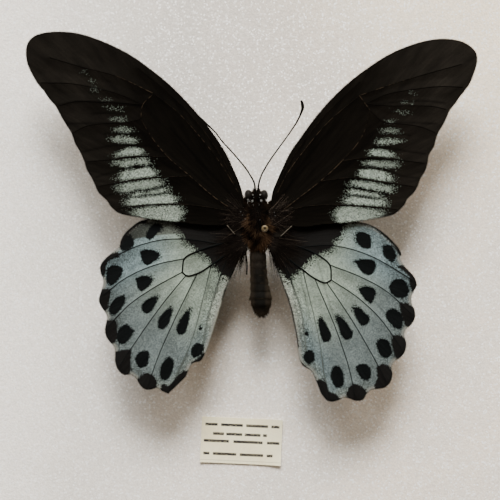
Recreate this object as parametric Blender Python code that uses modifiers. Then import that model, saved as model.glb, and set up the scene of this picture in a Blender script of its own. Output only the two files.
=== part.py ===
"""A spread swallowtail butterfly on its pin, standing in a slab of white foam with its label.

Metres, +Z up. The origin is the middle of the slab's underside, +X is the specimen's right and
+Y is towards its head. Stations are in millimetres, as measured on the specimen from above.
"""

import math

import bmesh
import bpy
from mathutils import Vector
from mathutils.geometry import delaunay_2d_cdt, interpolate_bezier

MM = 0.001
OBJECT_NAME = "pinned_butterfly"

# Foam slab and label
SLAB_SIDE = 150.0
SLAB_THICKNESS = 12.0
SLAB_EDGE_ROUND = 1.0
LABEL_SIZE = (22.3, 12.6, 0.25)
LABEL_CENTRE = (-2.4, -52.8)
LABEL_TURN = math.radians(-2.6)
REST_GAP = 0.15

# Pin
PIN_AXIS = (3.8, 5.5)
PIN_TIP_Z = 3.0
PIN_TOP_Z = 41.9
PIN_RADIUS = 0.24
PIN_POINT_LENGTH = 1.6
PIN_HEAD_RADIUS = 0.95
PIN_HEAD_HEIGHT = 1.55
PIN_HOLE_GAP = 0.2
PIN_HEAD_GAP = 0.08
PIN_HEAD_ARC = math.radians(70)
PIN_HEAD_ARC_POINTS = 9
CUTTER_REACH = 5.0

# Wings
WING_THICKNESS = 0.35
FOREWING_Z = 27.2
HINDWING_Z = 25.9
WING_RISE_OUTWARD = 0.015
BODY_X = 2.05
OUTLINE_STEP = 1.5
GRID_STEP = 4.5
GRID_CLEARANCE = 1.6
VEIN_RISE = 0.22
VEIN_HALF_WIDTH = 1.2
MERGE_GAP = 0.1

# Body
EYE_GAP = 0.12
BODY_SIDES = 18
ABDOMEN_RINGS = 8
RING_GROOVE = 0.035

# Each outline is a list of smooth runs that meet in corners, from the front of the root
# along the front edge, round the tip and the outer margin, and back along the inner margin.
LEFT_FOREWING_OUTLINE = [
    [(-1.8, 14.1), (-2.5, 16.9), (-3.8, 20.2), (-6.6, 26.0), (-10.5, 31.9), (-15.8, 38.3),
     (-21.2, 43.8), (-26.7, 48.3), (-32.0, 52.0), (-37.3, 54.7), (-42.7, 56.8), (-46.7, 57.8),
     (-50.7, 58.1), (-54.7, 57.8), (-57.2, 57.0), (-59.1, 55.1), (-59.6, 52.3), (-59.2, 49.6),
     (-57.8, 46.5), (-56.5, 44.3), (-54.9, 42.4), (-53.3, 40.1), (-51.7, 38.3), (-50.2, 35.5),
     (-48.6, 32.9), (-47.4, 31.0), (-46.5, 28.3), (-45.3, 26.3), (-44.1, 23.7), (-43.4, 21.3),
     (-42.1, 19.2), (-41.2, 17.3), (-40.3, 15.3), (-38.1, 13.2), (-37.1, 11.7), (-35.2, 10.0),
     (-32.5, 9.2)],
    [(-32.5, 9.2), (-29.3, 8.7), (-26.7, 8.1), (-20.0, 7.5), (-12.0, 6.6), (-6.1, 6.6)],
    [(-6.1, 6.6), (-3.5, 3.7), (-2.1, 3.2)],
    [(-2.1, 3.2), (-1.9, 8.6), (-1.8, 14.1)],
]
RIGHT_FOREWING_OUTLINE = [
    [(5.6, 13.2), (6.0, 15.5), (6.9, 17.8), (8.2, 20.8), (10.9, 26.2), (13.4, 29.8),
     (17.5, 35.4), (21.4, 39.9), (26.8, 45.0), (32.0, 48.9), (37.3, 52.2), (42.7, 54.5),
     (48.0, 55.9), (52.0, 56.2), (56.0, 55.6), (58.6, 54.2), (60.2, 52.3), (60.4, 50.0),
     (59.6, 47.2), (58.7, 44.8), (57.5, 42.9), (55.9, 40.9), (54.6, 39.0), (53.2, 37.3),
     (52.5, 35.7), (51.5, 33.6), (50.1, 31.3), (49.4, 29.3), (48.9, 27.5), (47.6, 25.3),
     (47.2, 23.2), (46.6, 21.1), (45.3, 18.9), (44.5, 16.8), (43.6, 15.3), (41.7, 13.4),
     (41.3, 12.4), (40.0, 10.9), (38.2, 9.5), (34.7, 8.6)],
    [(34.7, 8.6), (30.7, 8.0), (25.3, 7.2), (20.0, 6.9), (14.7, 6.1), (11.1, 6.4)],
    [(11.1, 6.4), (8.2, 3.7), (6.3, 3.2)],
    [(6.3, 3.2), (6.0, 8.6), (5.6, 13.2)],
]
LEFT_HINDWING_OUTLINE = [
    [(-2.0, 5.4), (-6.7, 7.0), (-12.0, 8.3), (-18.7, 9.4), (-24.0, 9.0), (-27.5, 8.2),
     (-29.4, 7.7), (-31.5, 6.2), (-33.4, 4.4), (-34.5, 2.4), (-34.8, 0.7)],
    [(-34.8, 0.7), (-37.3, -1.2), (-39.1, -2.8), (-40.0, -4.5), (-39.8, -6.3), (-39.2, -7.8),
     (-39.2, -9.3), (-39.9, -11.5), (-40.3, -13.6), (-39.7, -15.2), (-38.8, -16.4),
     (-38.1, -17.9), (-38.4, -19.5), (-38.7, -21.3), (-38.3, -23.3), (-37.2, -24.8),
     (-36.2, -26.0), (-36.0, -27.5), (-36.0, -29.6), (-35.2, -32.0), (-33.7, -33.3),
     (-31.7, -33.3), (-30.4, -34.3), (-29.4, -36.0), (-28.0, -37.2), (-26.4, -37.2),
     (-24.8, -36.8), (-23.5, -37.6), (-21.9, -38.4)],
    [(-21.9, -38.4), (-18.8, -35.4), (-17.2, -33.7), (-16.1, -31.1), (-15.1, -30.1),
     (-13.3, -29.6), (-12.0, -27.5), (-10.7, -24.0), (-9.6, -20.5), (-7.7, -14.1), (-5.8, -8.8),
     (-4.1, -5.3), (-2.6, -1.3), (-1.9, -0.1)],
    [(-1.9, -0.1), (-2.0, 2.6), (-2.0, 5.4)],
]
RIGHT_HINDWING_OUTLINE = [
    [(6.2, 5.0), (10.7, 6.6), (16.0, 8.1), (22.7, 8.6), (27.2, 7.8), (29.3, 7.4), (32.0, 6.7),
     (34.8, 5.2), (37.5, 2.9), (39.7, 0.4), (40.4, -1.1)],
    [(40.4, -1.1), (40.1, -2.3), (41.7, -4.9), (43.6, -6.9), (44.5, -9.3), (43.7, -11.1),
     (43.1, -12.5), (43.2, -14.3), (44.0, -16.3), (43.9, -18.4), (42.8, -20.2), (41.5, -21.3),
     (41.2, -22.7), (41.7, -24.8), (41.3, -27.2), (40.1, -28.7), (38.4, -29.9), (37.8, -31.2),
     (38.0, -33.1), (37.4, -35.4), (36.0, -36.7), (34.1, -37.1), (32.4, -37.3), (31.2, -38.4),
     (30.1, -40.0), (28.0, -40.2), (26.4, -39.6), (25.1, -39.4), (23.6, -40.1), (21.9, -40.5),
     (20.6, -40.2), (19.1, -38.4)],
    [(19.1, -38.4), (17.8, -35.2), (16.4, -32.3), (14.3, -31.0), (13.3, -29.3), (12.9, -26.7),
     (12.5, -23.5), (11.7, -19.2), (10.5, -14.1), (8.7, -9.3), (7.2, -5.3), (6.3, -2.7),
     (5.7, -0.3)],
    [(5.7, -0.3), (6.2, 2.4), (6.2, 5.0)],
]

# Veins stand up from the membrane as low ridges, each a chain of straight stretches.
LEFT_FOREWING_VEINS = {
    "costal": [(-4.0, 17.5), (-8.0, 25.3), (-14.7, 34.7), (-22.7, 42.7), (-30.0, 48.6)],
    "radius": [(-3.2, 15.4), (-6.7, 21.3), (-13.3, 30.1), (-20.0, 37.3), (-25.6, 41.6)],
    "radial_branch": [(-25.6, 41.6), (-36.0, 46.4), (-44.0, 48.5), (-53.3, 51.2)],
    "cell_end": [(-25.6, 41.6), (-28.5, 38.7), (-29.1, 34.9)],
    "media_1": [(-28.5, 38.7), (-34.1, 41.2), (-40.5, 43.0), (-48.0, 44.3), (-55.6, 44.5)],
    "media_2": [(-28.5, 38.7), (-34.7, 39.2), (-41.3, 39.5), (-46.7, 39.5), (-51.0, 38.3)],
    "media_3": [(-29.1, 34.9), (-33.3, 33.9), (-40.0, 33.6), (-44.0, 32.8), (-47.0, 31.2)],
    "cubitus": [(-3.2, 9.9), (-9.3, 13.9), (-16.0, 19.7), (-21.9, 24.8), (-26.1, 29.9),
                (-29.1, 34.9)],
    "cubitus_1": [(-21.9, 24.8), (-30.7, 24.9), (-37.1, 24.1), (-43.3, 23.5)],
    "cubitus_2": [(-16.0, 19.7), (-26.7, 19.1), (-31.5, 18.5), (-40.2, 17.0)],
    "anal": [(-3.2, 9.9), (-13.3, 11.7), (-19.2, 12.2), (-26.7, 12.0), (-35.4, 11.2)],
}
RIGHT_FOREWING_VEINS = {
    "costal": [(7.4, 17.2), (10.9, 23.9), (14.8, 29.6), (20.0, 36.0), (29.3, 44.9)],
    "radius": [(7.0, 14.6), (9.9, 20.3), (14.4, 26.5), (20.6, 33.8), (29.1, 41.1)],
    "radial_branch": [(29.1, 41.1), (40.0, 44.8), (49.3, 47.5), (56.3, 49.4)],
    "cell_end": [(29.1, 41.1), (30.7, 38.9), (32.0, 37.1)],
    "media_1": [(30.7, 38.9), (36.0, 41.3), (43.2, 42.7), (50.7, 43.5), (56.6, 43.3)],
    "media_2": [(30.7, 38.9), (37.3, 38.4), (44.0, 38.4), (49.3, 38.1), (52.1, 37.4)],
    "media_3": [(32.0, 37.1), (36.0, 33.9), (40.0, 33.6), (45.3, 32.8), (49.2, 31.3)],
    "cubitus": [(7.3, 9.4), (13.3, 14.1), (18.7, 18.3), (24.5, 23.7), (29.9, 30.4),
                (32.0, 37.1)],
    "cubitus_1": [(24.5, 23.7), (32.0, 24.7), (36.8, 24.3), (46.4, 23.1)],
    "cubitus_2": [(18.7, 18.3), (28.0, 19.2), (33.3, 18.4), (43.5, 16.9)],
    "anal": [(7.3, 9.4), (13.3, 11.3), (25.3, 11.9), (32.0, 11.5), (39.2, 10.8)],
}
LEFT_HINDWING_VEINS = {
    "cell_front": [(-3.6, 2.7), (-8.0, 1.6), (-14.1, -0.4), (-17.5, -2.3), (-18.1, -5.9)],
    "cell_rear": [(-18.1, -5.9), (-17.1, -6.8), (-14.1, -6.3), (-10.4, -4.1), (-5.4, -0.4)],
    "radius": [(-8.0, 1.6), (-17.3, 2.9), (-22.7, 2.8), (-29.3, 1.3), (-38.4, -2.9)],
    "media_1": [(-17.5, -2.3), (-25.3, -4.0), (-33.3, -7.6), (-39.1, -12.0)],
    "media_2": [(-18.1, -5.9), (-26.7, -10.7), (-32.0, -14.4), (-37.8, -20.4)],
    "media_3": [(-17.1, -6.8), (-22.7, -13.6), (-32.0, -26.7), (-34.6, -30.6)],
    "cubitus_1": [(-14.1, -6.3), (-20.8, -20.0), (-24.0, -27.2), (-27.2, -36.0)],
    "cubitus_2": [(-10.4, -4.1), (-12.0, -10.7), (-16.0, -25.3), (-20.9, -36.4)],
    "anal": [(-5.4, -0.4), (-7.9, -7.0), (-11.7, -20.0), (-12.9, -27.0)],
}
RIGHT_HINDWING_VEINS = {
    "cell_front": [(7.6, 2.4), (13.3, 0.8), (18.1, -1.3), (21.3, -4.0), (21.7, -8.0)],
    "cell_rear": [(21.7, -8.0), (20.5, -8.7), (17.3, -7.6), (14.1, -5.3), (8.6, -1.0)],
    "radius": [(13.3, 0.8), (22.1, 1.2), (26.7, 0.3), (33.3, -2.1), (37.3, -4.3), (43.2, -8.0)],
    "media_1": [(21.3, -4.0), (29.3, -7.1), (36.0, -10.7), (42.9, -16.9)],
    "media_2": [(21.7, -8.0), (28.5, -12.5), (34.1, -17.6), (40.3, -26.0)],
    "media_3": [(20.5, -8.7), (27.2, -18.7), (34.1, -30.7), (36.2, -34.7)],
    "cubitus_1": [(17.3, -7.6), (24.0, -24.0), (26.7, -32.5), (28.0, -38.9)],
    "cubitus_2": [(14.1, -5.3), (18.7, -25.3), (20.0, -34.1), (21.2, -39.2)],
    "anal": [(8.6, -1.0), (10.9, -8.0), (13.6, -16.0), (14.9, -26.0), (15.2, -29.7)],
}

# Body sections, each station as y, centre x, centre z, half width, half height
THORAX_STATIONS = [
    (0.4, 2.2, 24.6, 1.5, 1.9), (1.3, 2.15, 24.8, 2.6, 3.1), (3.2, 2.1, 25.0, 3.3, 4.1),
    (5.6, 2.05, 25.2, 3.7, 4.6), (8.2, 2.05, 25.3, 3.7, 4.6), (10.2, 2.0, 25.3, 3.3, 4.1),
    (11.6, 1.95, 25.4, 2.4, 3.1), (12.4, 1.9, 25.5, 1.4, 1.9),
]
HEAD_STATIONS = [
    (12.75, 1.8, 25.6, 0.9, 1.1), (13.2, 1.78, 25.6, 1.75, 1.75), (14.1, 1.73, 25.6, 2.1, 2.15),
    (15.0, 1.7, 25.6, 1.8, 2.05), (15.5, 1.7, 25.5, 1.2, 1.5), (15.7, 1.7, 25.4, 0.6, 0.9),
]
ABDOMEN_STATIONS = [
    (0.05, 2.15, 24.5, 1.4, 1.6), (-0.8, 2.15, 24.5, 2.0, 2.2), (-3.5, 2.2, 24.3, 2.1, 2.4),
    (-7.0, 2.35, 24.1, 2.15, 2.5), (-10.5, 2.75, 23.9, 2.5, 2.7), (-12.8, 2.95, 23.8, 2.8, 2.75),
    (-15.0, 3.0, 23.7, 2.45, 2.4), (-16.8, 3.1, 23.6, 1.5, 1.6), (-17.9, 3.15, 23.6, 0.75, 0.8),
]
EYE_HALF_SIZE = (0.95, 1.45, 1.65)
EYE_CENTRES = {"left": (-0.3, 14.45, 25.7), "right": (3.75, 14.4, 25.7)}

# Thin limbs: each point is x, y, z and the half thickness there
ANTENNA_ROUTES = {
    "left": [(1.4, 15.4, 27.6, 0.22), (1.35, 16.4, 27.6, 0.18), (1.1, 17.9, 27.5, 0.16),
             (0.0, 20.0, 27.3, 0.15), (-1.3, 22.0, 27.1, 0.15), (-2.7, 23.7, 26.9, 0.15),
             (-5.3, 26.7, 26.6, 0.15), (-7.5, 29.1, 26.3, 0.16), (-9.3, 31.5, 26.1, 0.18),
             (-11.5, 33.6, 26.0, 0.22), (-13.2, 35.1, 25.9, 0.32), (-14.8, 36.3, 25.9, 0.38),
             (-15.7, 36.9, 25.9, 0.22)],
    "right": [(2.1, 15.4, 27.6, 0.22), (2.2, 16.6, 27.6, 0.18), (2.7, 19.0, 27.6, 0.16),
              (4.4, 22.4, 27.8, 0.15), (7.4, 26.8, 28.0, 0.15), (10.8, 31.5, 28.1, 0.16),
              (12.8, 34.7, 28.2, 0.19), (13.6, 36.5, 28.3, 0.26), (14.0, 37.8, 28.3, 0.36),
              (13.9, 38.9, 28.3, 0.38), (13.6, 39.8, 28.3, 0.22)],
}
PALP_ROUTE = [(0.55, 15.3, 23.6, 0.26), (0.6, 15.95, 24.0, 0.3), (0.5, 16.1, 24.8, 0.3),
              (0.4, 16.1, 25.5, 0.26), (0.35, 16.0, 26.0, 0.16)]
HEAD_X = 1.75
PROBOSCIS_CENTRE = (1.75, 14.8, 21.7)
PROBOSCIS_TURNS = 2.25
PROBOSCIS_RADII = (1.35, 0.35)
PROBOSCIS_THICKNESS = 0.14
PROBOSCIS_POINTS = 30
LEG_ROUTES = {
    "left_front_leg": [(1.2, 10.6, 20.6, 0.3), (0.0, 12.3, 20.0, 0.3), (-1.1, 13.8, 20.5, 0.26),
                       (-0.6, 11.2, 19.0, 0.24), (-0.2, 8.6, 18.3, 0.2), (0.1, 6.0, 18.1, 0.16),
                       (0.4, 3.4, 18.3, 0.14)],
    "left_middle_leg": [(1.1, 8.0, 20.2, 0.32), (-0.9, 9.2, 19.4, 0.32), (-2.6, 10.6, 19.2, 0.26),
                        (-2.3, 7.6, 18.2, 0.24), (-1.7, 5.0, 17.9, 0.2), (-1.0, 2.9, 18.1, 0.16),
                        (-0.4, 1.1, 18.5, 0.14)],
    "left_hind_leg": [(1.1, 4.9, 20.3, 0.32), (-0.9, 5.5, 19.9, 0.32), (-2.9, 6.4, 20.2, 0.26),
                      (-2.3, 3.4, 19.8, 0.24), (-1.6, 0.9, 20.0, 0.2), (-1.1, -1.3, 20.3, 0.16),
                      (-0.8, -4.0, 20.5, 0.15), (-0.9, -6.7, 20.3, 0.14)],
    "right_front_leg": [(2.9, 10.6, 20.6, 0.3), (4.1, 12.2, 20.0, 0.3), (5.3, 13.6, 20.5, 0.26),
                        (4.6, 11.0, 18.9, 0.24), (3.7, 8.5, 18.3, 0.2), (2.9, 5.9, 18.0, 0.16),
                        (2.4, 3.4, 18.2, 0.14)],
    "right_middle_leg": [(3.0, 8.0, 20.2, 0.32), (5.0, 9.1, 19.4, 0.32), (6.7, 10.3, 19.2, 0.26),
                         (6.4, 7.4, 18.1, 0.24), (5.7, 4.7, 17.7, 0.2), (4.8, 2.6, 17.9, 0.16),
                         (3.9, 0.8, 18.3, 0.14)],
    "right_hind_leg": [(4.4, 4.0, 20.9, 0.32), (5.4, 4.9, 20.2, 0.32), (6.8, 6.0, 20.2, 0.26),
                       (6.4, 3.7, 19.6, 0.24), (5.3, 1.5, 19.5, 0.2), (4.0, -0.6, 19.8, 0.16),
                       (3.4, -2.8, 20.1, 0.15), (3.1, -5.0, 20.2, 0.14)],
}

# Colour, roughness and metallic value of each material
MATERIALS = {
    "foam": ((0.72, 0.70, 0.66), 0.9, 0.0),
    "paper": ((0.68, 0.62, 0.47), 0.85, 0.0),
    "steel": ((0.30, 0.29, 0.28), 0.35, 1.0),
    "pin_head": ((0.62, 0.50, 0.30), 0.3, 0.0),
    "forewing": ((0.010, 0.008, 0.006), 0.8, 0.0),
    "hindwing": ((0.22, 0.25, 0.25), 0.8, 0.0),
    "body": ((0.016, 0.012, 0.009), 0.9, 0.0),
    "eye": ((0.050, 0.035, 0.025), 0.3, 0.0),
    "limb": ((0.020, 0.014, 0.010), 0.6, 0.0),
}


def clear_scene():
    for old in list(bpy.data.objects):
        bpy.data.objects.remove(old, do_unlink=True)


def new_collection(name):
    collection = bpy.data.collections.new(name)
    bpy.context.scene.collection.children.link(collection)
    return collection


def make_material(name):
    colour, roughness, metallic = MATERIALS[name]
    material = bpy.data.materials.new(name)
    material.use_nodes = True
    shader = material.node_tree.nodes["Principled BSDF"]
    shader.inputs["Base Color"].default_value = (*colour, 1.0)
    shader.inputs["Roughness"].default_value = roughness
    shader.inputs["Metallic"].default_value = metallic
    material.diffuse_color = (*colour, 1.0)
    return material


def add_object(name, data, collection, material=None):
    obj = bpy.data.objects.new(name, data)
    collection.objects.link(obj)
    if material:
        data.materials.append(material)
    return obj


def mesh_object(name, bm, collection, material=None, smooth=True):
    """Turn a bmesh in millimetres into an object in metres."""
    bmesh.ops.scale(bm, vec=(MM, MM, MM), verts=bm.verts)
    bmesh.ops.recalc_face_normals(bm, faces=bm.faces)
    mesh = bpy.data.meshes.new(name)
    bm.to_mesh(mesh)
    bm.free()
    if smooth:
        mesh.shade_smooth()
        mesh.set_sharp_from_angle(angle=math.radians(40))
    return add_object(name, mesh, collection, material)


def cylinder_cutter(name, centre, radius, low, high, collection):
    bm = bmesh.new()
    bmesh.ops.create_cone(bm, cap_ends=True, segments=16, radius1=radius, radius2=radius,
                          depth=high - low)
    bmesh.ops.translate(bm, vec=(centre[0], centre[1], (low + high) / 2), verts=bm.verts)
    return hide_cutter(mesh_object(name, bm, collection, smooth=False))


def hide_cutter(cutter):
    cutter.hide_render = True
    cutter.display_type = "WIRE"
    return cutter


def cut(obj, cutter):
    boolean = obj.modifiers.new("cut_" + cutter.name, "BOOLEAN")
    boolean.operation = "DIFFERENCE"
    boolean.solver = "EXACT"
    boolean.object = cutter


def smooth_run(stations):
    """Points about OUTLINE_STEP apart on a smooth curve through a run of stations."""
    knots = [Vector(p) for p in stations]
    last = len(knots) - 1
    ways = [(knots[min(i + 1, last)] - knots[max(i - 1, 0)]).normalized() for i in range(last + 1)]
    points = []
    for i in range(last):
        span = (knots[i + 1] - knots[i]).length
        count = max(2, round(span / OUTLINE_STEP) + 1)
        reach = span / 3
        points += interpolate_bezier(knots[i], knots[i] + ways[i] * reach,
                                     knots[i + 1] - ways[i + 1] * reach, knots[i + 1], count)[:-1]
    return [Vector((p[0], p[1])) for p in points]


def closed_outline(runs):
    points = []
    for run in runs:
        points += smooth_run(run)
    return points


def distance_to_segment(point, start, end):
    along = end - start
    share = max(0.0, min(1.0, (point - start).dot(along) / along.length_squared))
    return (point - start - along * share).length


def distance_to_chains(point, chains):
    return min(distance_to_segment(point, a, b) for chain in chains for a, b in zip(chain, chain[1:]))


def is_inside(point, outline):
    inside = False
    for a, b in zip(outline, outline[1:] + outline[:1]):
        if (a.y > point.y) != (b.y > point.y):
            if point.x < a.x + (point.y - a.y) * (b.x - a.x) / (b.y - a.y):
                inside = not inside
    return inside


def grid_points(outline, chains):
    """Free points inside the wing, clear of its outline and its veins."""
    lines = chains + [outline + outline[:1]]
    low_x, high_x = min(p.x for p in outline), max(p.x for p in outline)
    low_y, high_y = min(p.y for p in outline), max(p.y for p in outline)
    points = []
    for row in range(int((high_y - low_y) / GRID_STEP) + 1):
        for column in range(int((high_x - low_x) / GRID_STEP) + 1):
            shift = 0.5 if row % 2 else 0.0
            point = Vector((low_x + (column + shift) * GRID_STEP, low_y + (row + 0.5) * GRID_STEP))
            if is_inside(point, outline) and distance_to_chains(point, lines) > GRID_CLEARANCE:
                points.append(point)
    return points


def wing_height(point, root_z, chains):
    """The membrane rises a little outwards, and its veins stand up from it."""
    nearest = distance_to_chains(point, chains)
    ridge = VEIN_RISE * max(0.0, 1.0 - nearest / VEIN_HALF_WIDTH)
    return root_z + WING_RISE_OUTWARD * abs(point.x - BODY_X) + ridge


def make_wing(name, runs, veins, root_z, collection, material):
    outline = closed_outline(runs)
    chains = [[Vector(p) for p in chain] for chain in veins.values()]
    flat = list(outline)
    edges = [(i, (i + 1) % len(outline)) for i in range(len(outline))]
    for chain in chains:
        first = len(flat)
        flat += chain
        edges += [(first + i, first + i + 1) for i in range(len(chain) - 1)]
    flat += grid_points(outline, chains)
    triangles_inside = 1
    points, _, faces, *_ = delaunay_2d_cdt(flat, edges, [], triangles_inside, MERGE_GAP)
    bm = bmesh.new()
    verts = [bm.verts.new((p.x, p.y, wing_height(p, root_z, chains))) for p in points]
    for face in faces:
        bm.faces.new([verts[i] for i in face])
    bmesh.ops.dissolve_degenerate(bm, dist=MERGE_GAP / 2, edges=bm.edges)
    bmesh.ops.triangulate(bm, faces=bm.faces)
    wing = mesh_object(name, bm, collection, material)
    if wing.data.polygons[0].normal.z < 0:
        wing.data.flip_normals()
    thickness = wing.modifiers.new("membrane_thickness", "SOLIDIFY")
    thickness.thickness = WING_THICKNESS * MM
    thickness.offset = -1.0
    return wing


def loft(name, stations, sides, collection, material):
    """A closed form through oval rings, each at y, centre x, centre z, half width, half height."""
    bm = bmesh.new()
    rings = []
    for y, x, z, half_width, half_height in stations:
        ring = bmesh.ops.create_circle(bm, cap_ends=False, radius=1.0, segments=sides)["verts"]
        bmesh.ops.scale(bm, vec=(half_width, half_height, 1.0), verts=ring)
        for vert in ring:
            vert.co = Vector((vert.co.x + x, y, vert.co.y + z))
        rings.append(ring)
    edges = [e for e in bm.edges]
    bmesh.ops.bridge_loops(bm, edges=edges)
    for ring in (rings[0], rings[-1]):
        bm.faces.new(ring)
    return mesh_object(name, bm, collection, material)


def ringed(stations):
    """Stations of the abdomen with a groove between each two of its rings."""
    knots = [Vector(s) for s in stations]
    front, rear = stations[0][0], stations[-1][0]

    def station_at(y):
        for a, b in zip(knots, knots[1:]):
            if b[0] <= y <= a[0]:
                return a.lerp(b, (a[0] - y) / (a[0] - b[0]))
        return knots[-1]

    result = []
    shares = (0.0, 0.35, 0.75)
    swell = (-RING_GROOVE, RING_GROOVE, RING_GROOVE * 0.6)
    for ring in range(ABDOMEN_RINGS):
        for share, grow in zip(shares, swell):
            y = front + (rear - front) * (ring + share) / ABDOMEN_RINGS
            station = list(station_at(y))
            station[3] *= 1 + grow
            station[4] *= 1 + grow
            result.append(tuple(station))
    result.append(stations[-1])
    return result


def limb(name, route, sides_resolution, collection, material):
    """A thin tube that tapers along its route of x, y, z and half thickness."""
    curve = bpy.data.curves.new(name, "CURVE")
    curve.dimensions = "3D"
    curve.use_fill_caps = True
    curve.bevel_depth = MM
    curve.bevel_resolution = sides_resolution
    spline = curve.splines.new("POLY")
    spline.points.add(len(route) - 1)
    for point, (x, y, z, half) in zip(spline.points, route):
        point.co = (x * MM, y * MM, z * MM, 1.0)
        point.radius = half
    return add_object(name, curve, collection, material)


def bent_route(knots, per_span):
    """The knots of a limb with more points between them on a smooth curve."""
    points = [Vector(k) for k in knots]
    last = len(points) - 1
    route = []
    for i in range(last):
        before, here = points[max(i - 1, 0)], points[i]
        after, beyond = points[i + 1], points[min(i + 2, last)]
        for step in range(per_span):
            t = step / per_span
            weights = ((-t + 2 * t ** 2 - t ** 3) / 2, (2 - 5 * t ** 2 + 3 * t ** 3) / 2,
                       (t + 4 * t ** 2 - 3 * t ** 3) / 2, (-t ** 2 + t ** 3) / 2)
            route.append(before * weights[0] + here * weights[1] + after * weights[2]
                         + beyond * weights[3])
    return route + [points[last]]


def make_slab(parts, cutters, material):
    bm = bmesh.new()
    bmesh.ops.create_cube(bm, size=1.0)
    bmesh.ops.scale(bm, vec=(SLAB_SIDE, SLAB_SIDE, SLAB_THICKNESS), verts=bm.verts)
    bmesh.ops.translate(bm, vec=(0, 0, SLAB_THICKNESS / 2), verts=bm.verts)
    slab = mesh_object("foam_base", bm, parts, material)
    rounding = slab.modifiers.new("edge_round", "BEVEL")
    rounding.width = SLAB_EDGE_ROUND * MM
    rounding.segments = 2
    hole = cylinder_cutter("slab_pin_hole", PIN_AXIS, PIN_RADIUS + PIN_HOLE_GAP,
                           PIN_TIP_Z - PIN_HOLE_GAP, SLAB_THICKNESS + CUTTER_REACH, cutters)
    cut(slab, hole)


def make_label(parts, material):
    bm = bmesh.new()
    bmesh.ops.create_cube(bm, size=1.0)
    bmesh.ops.scale(bm, vec=LABEL_SIZE, verts=bm.verts)
    label = mesh_object("label", bm, parts, material, smooth=False)
    label.location = (LABEL_CENTRE[0] * MM, LABEL_CENTRE[1] * MM,
                      (SLAB_THICKNESS + REST_GAP + LABEL_SIZE[2] / 2) * MM)
    label.rotation_euler = (0, 0, LABEL_TURN)


def turned(name, profile, segments, parts, material):
    """A profile of radius and height, top to bottom, turned about the pin's axis."""
    bm = bmesh.new()
    verts = [bm.verts.new((radius * MM, 0, z * MM)) for radius, z in profile]
    for a, b in zip(verts, verts[1:] + verts[:1]):
        bm.edges.new((a, b))
    mesh = bpy.data.meshes.new(name)
    bm.to_mesh(mesh)
    bm.free()
    obj = add_object(name, mesh, parts, material)
    obj.location = (PIN_AXIS[0] * MM, PIN_AXIS[1] * MM, 0)
    screw = obj.modifiers.new("turn", "SCREW")
    screw.steps = segments
    screw.render_steps = segments
    screw.use_merge_vertices = True
    screw.merge_threshold = 0.00001
    screw.use_smooth_shade = True
    return obj


def make_pin(parts, shaft_material, head_material):
    bm = bmesh.new()
    point_top = PIN_TIP_Z + PIN_POINT_LENGTH
    bmesh.ops.create_cone(bm, cap_ends=True, segments=16, radius1=PIN_RADIUS, radius2=PIN_RADIUS,
                          depth=PIN_TOP_Z - point_top)
    bmesh.ops.translate(bm, vec=(0, 0, (PIN_TOP_Z + point_top) / 2), verts=bm.verts)
    bottom = min(bm.faces, key=lambda face: face.calc_center_median().z)
    point = bmesh.ops.extrude_discrete_faces(bm, faces=[bottom])["faces"][0]
    bmesh.ops.translate(bm, vec=(0, 0, -PIN_POINT_LENGTH), verts=point.verts)
    bmesh.ops.scale(bm, vec=(0.2, 0.2, 1.0), verts=point.verts)
    shaft = mesh_object("pin_shaft", bm, parts, shaft_material)
    shaft.location = (PIN_AXIS[0] * MM, PIN_AXIS[1] * MM, 0)
    bore = PIN_RADIUS + PIN_HEAD_GAP
    middle = PIN_TOP_Z - PIN_HEAD_HEIGHT / 2
    profile = [(bore, middle + PIN_HEAD_HEIGHT / 2)]
    for i in range(PIN_HEAD_ARC_POINTS):
        angle = PIN_HEAD_ARC * (1 - 2 * i / (PIN_HEAD_ARC_POINTS - 1))
        profile.append((PIN_HEAD_RADIUS * math.cos(angle),
                        middle + PIN_HEAD_HEIGHT / 2 * math.sin(angle)))
    profile.append((bore, middle - PIN_HEAD_HEIGHT / 2))
    turned("pin_head", profile, 24, parts, head_material)


def make_eye(side, parts, cutters, head, material):
    for name, grow, collection in ((side + "_eye", 0.0, parts),
                                   (side + "_socket", EYE_GAP, cutters)):
        bm = bmesh.new()
        bmesh.ops.create_uvsphere(bm, u_segments=16, v_segments=10, radius=1.0)
        half = [size + grow for size in EYE_HALF_SIZE]
        bmesh.ops.scale(bm, vec=half, verts=bm.verts)
        bmesh.ops.translate(bm, vec=EYE_CENTRES[side], verts=bm.verts)
        eye = mesh_object(name, bm, collection, material if collection is parts else None)
    cut(head, hide_cutter(eye))


def make_body(parts, cutters, skin, eye_skin):
    thorax = loft("thorax", THORAX_STATIONS, 12, parts, skin)
    rounding = thorax.modifiers.new("soft_form", "SUBSURF")
    rounding.levels = 1
    rounding.render_levels = 1
    middle = max(THORAX_STATIONS, key=lambda station: station[4])
    reach = middle[4] + CUTTER_REACH
    hole = cylinder_cutter("thorax_pin_hole", PIN_AXIS, PIN_RADIUS + PIN_HOLE_GAP,
                           middle[2] - reach, middle[2] + reach, cutters)
    cut(thorax, hole)
    loft("abdomen", ringed(ABDOMEN_STATIONS), BODY_SIDES, parts, skin)
    head = loft("head", HEAD_STATIONS, BODY_SIDES, parts, skin)
    for side in EYE_CENTRES:
        make_eye(side, parts, cutters, head, eye_skin)


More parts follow.
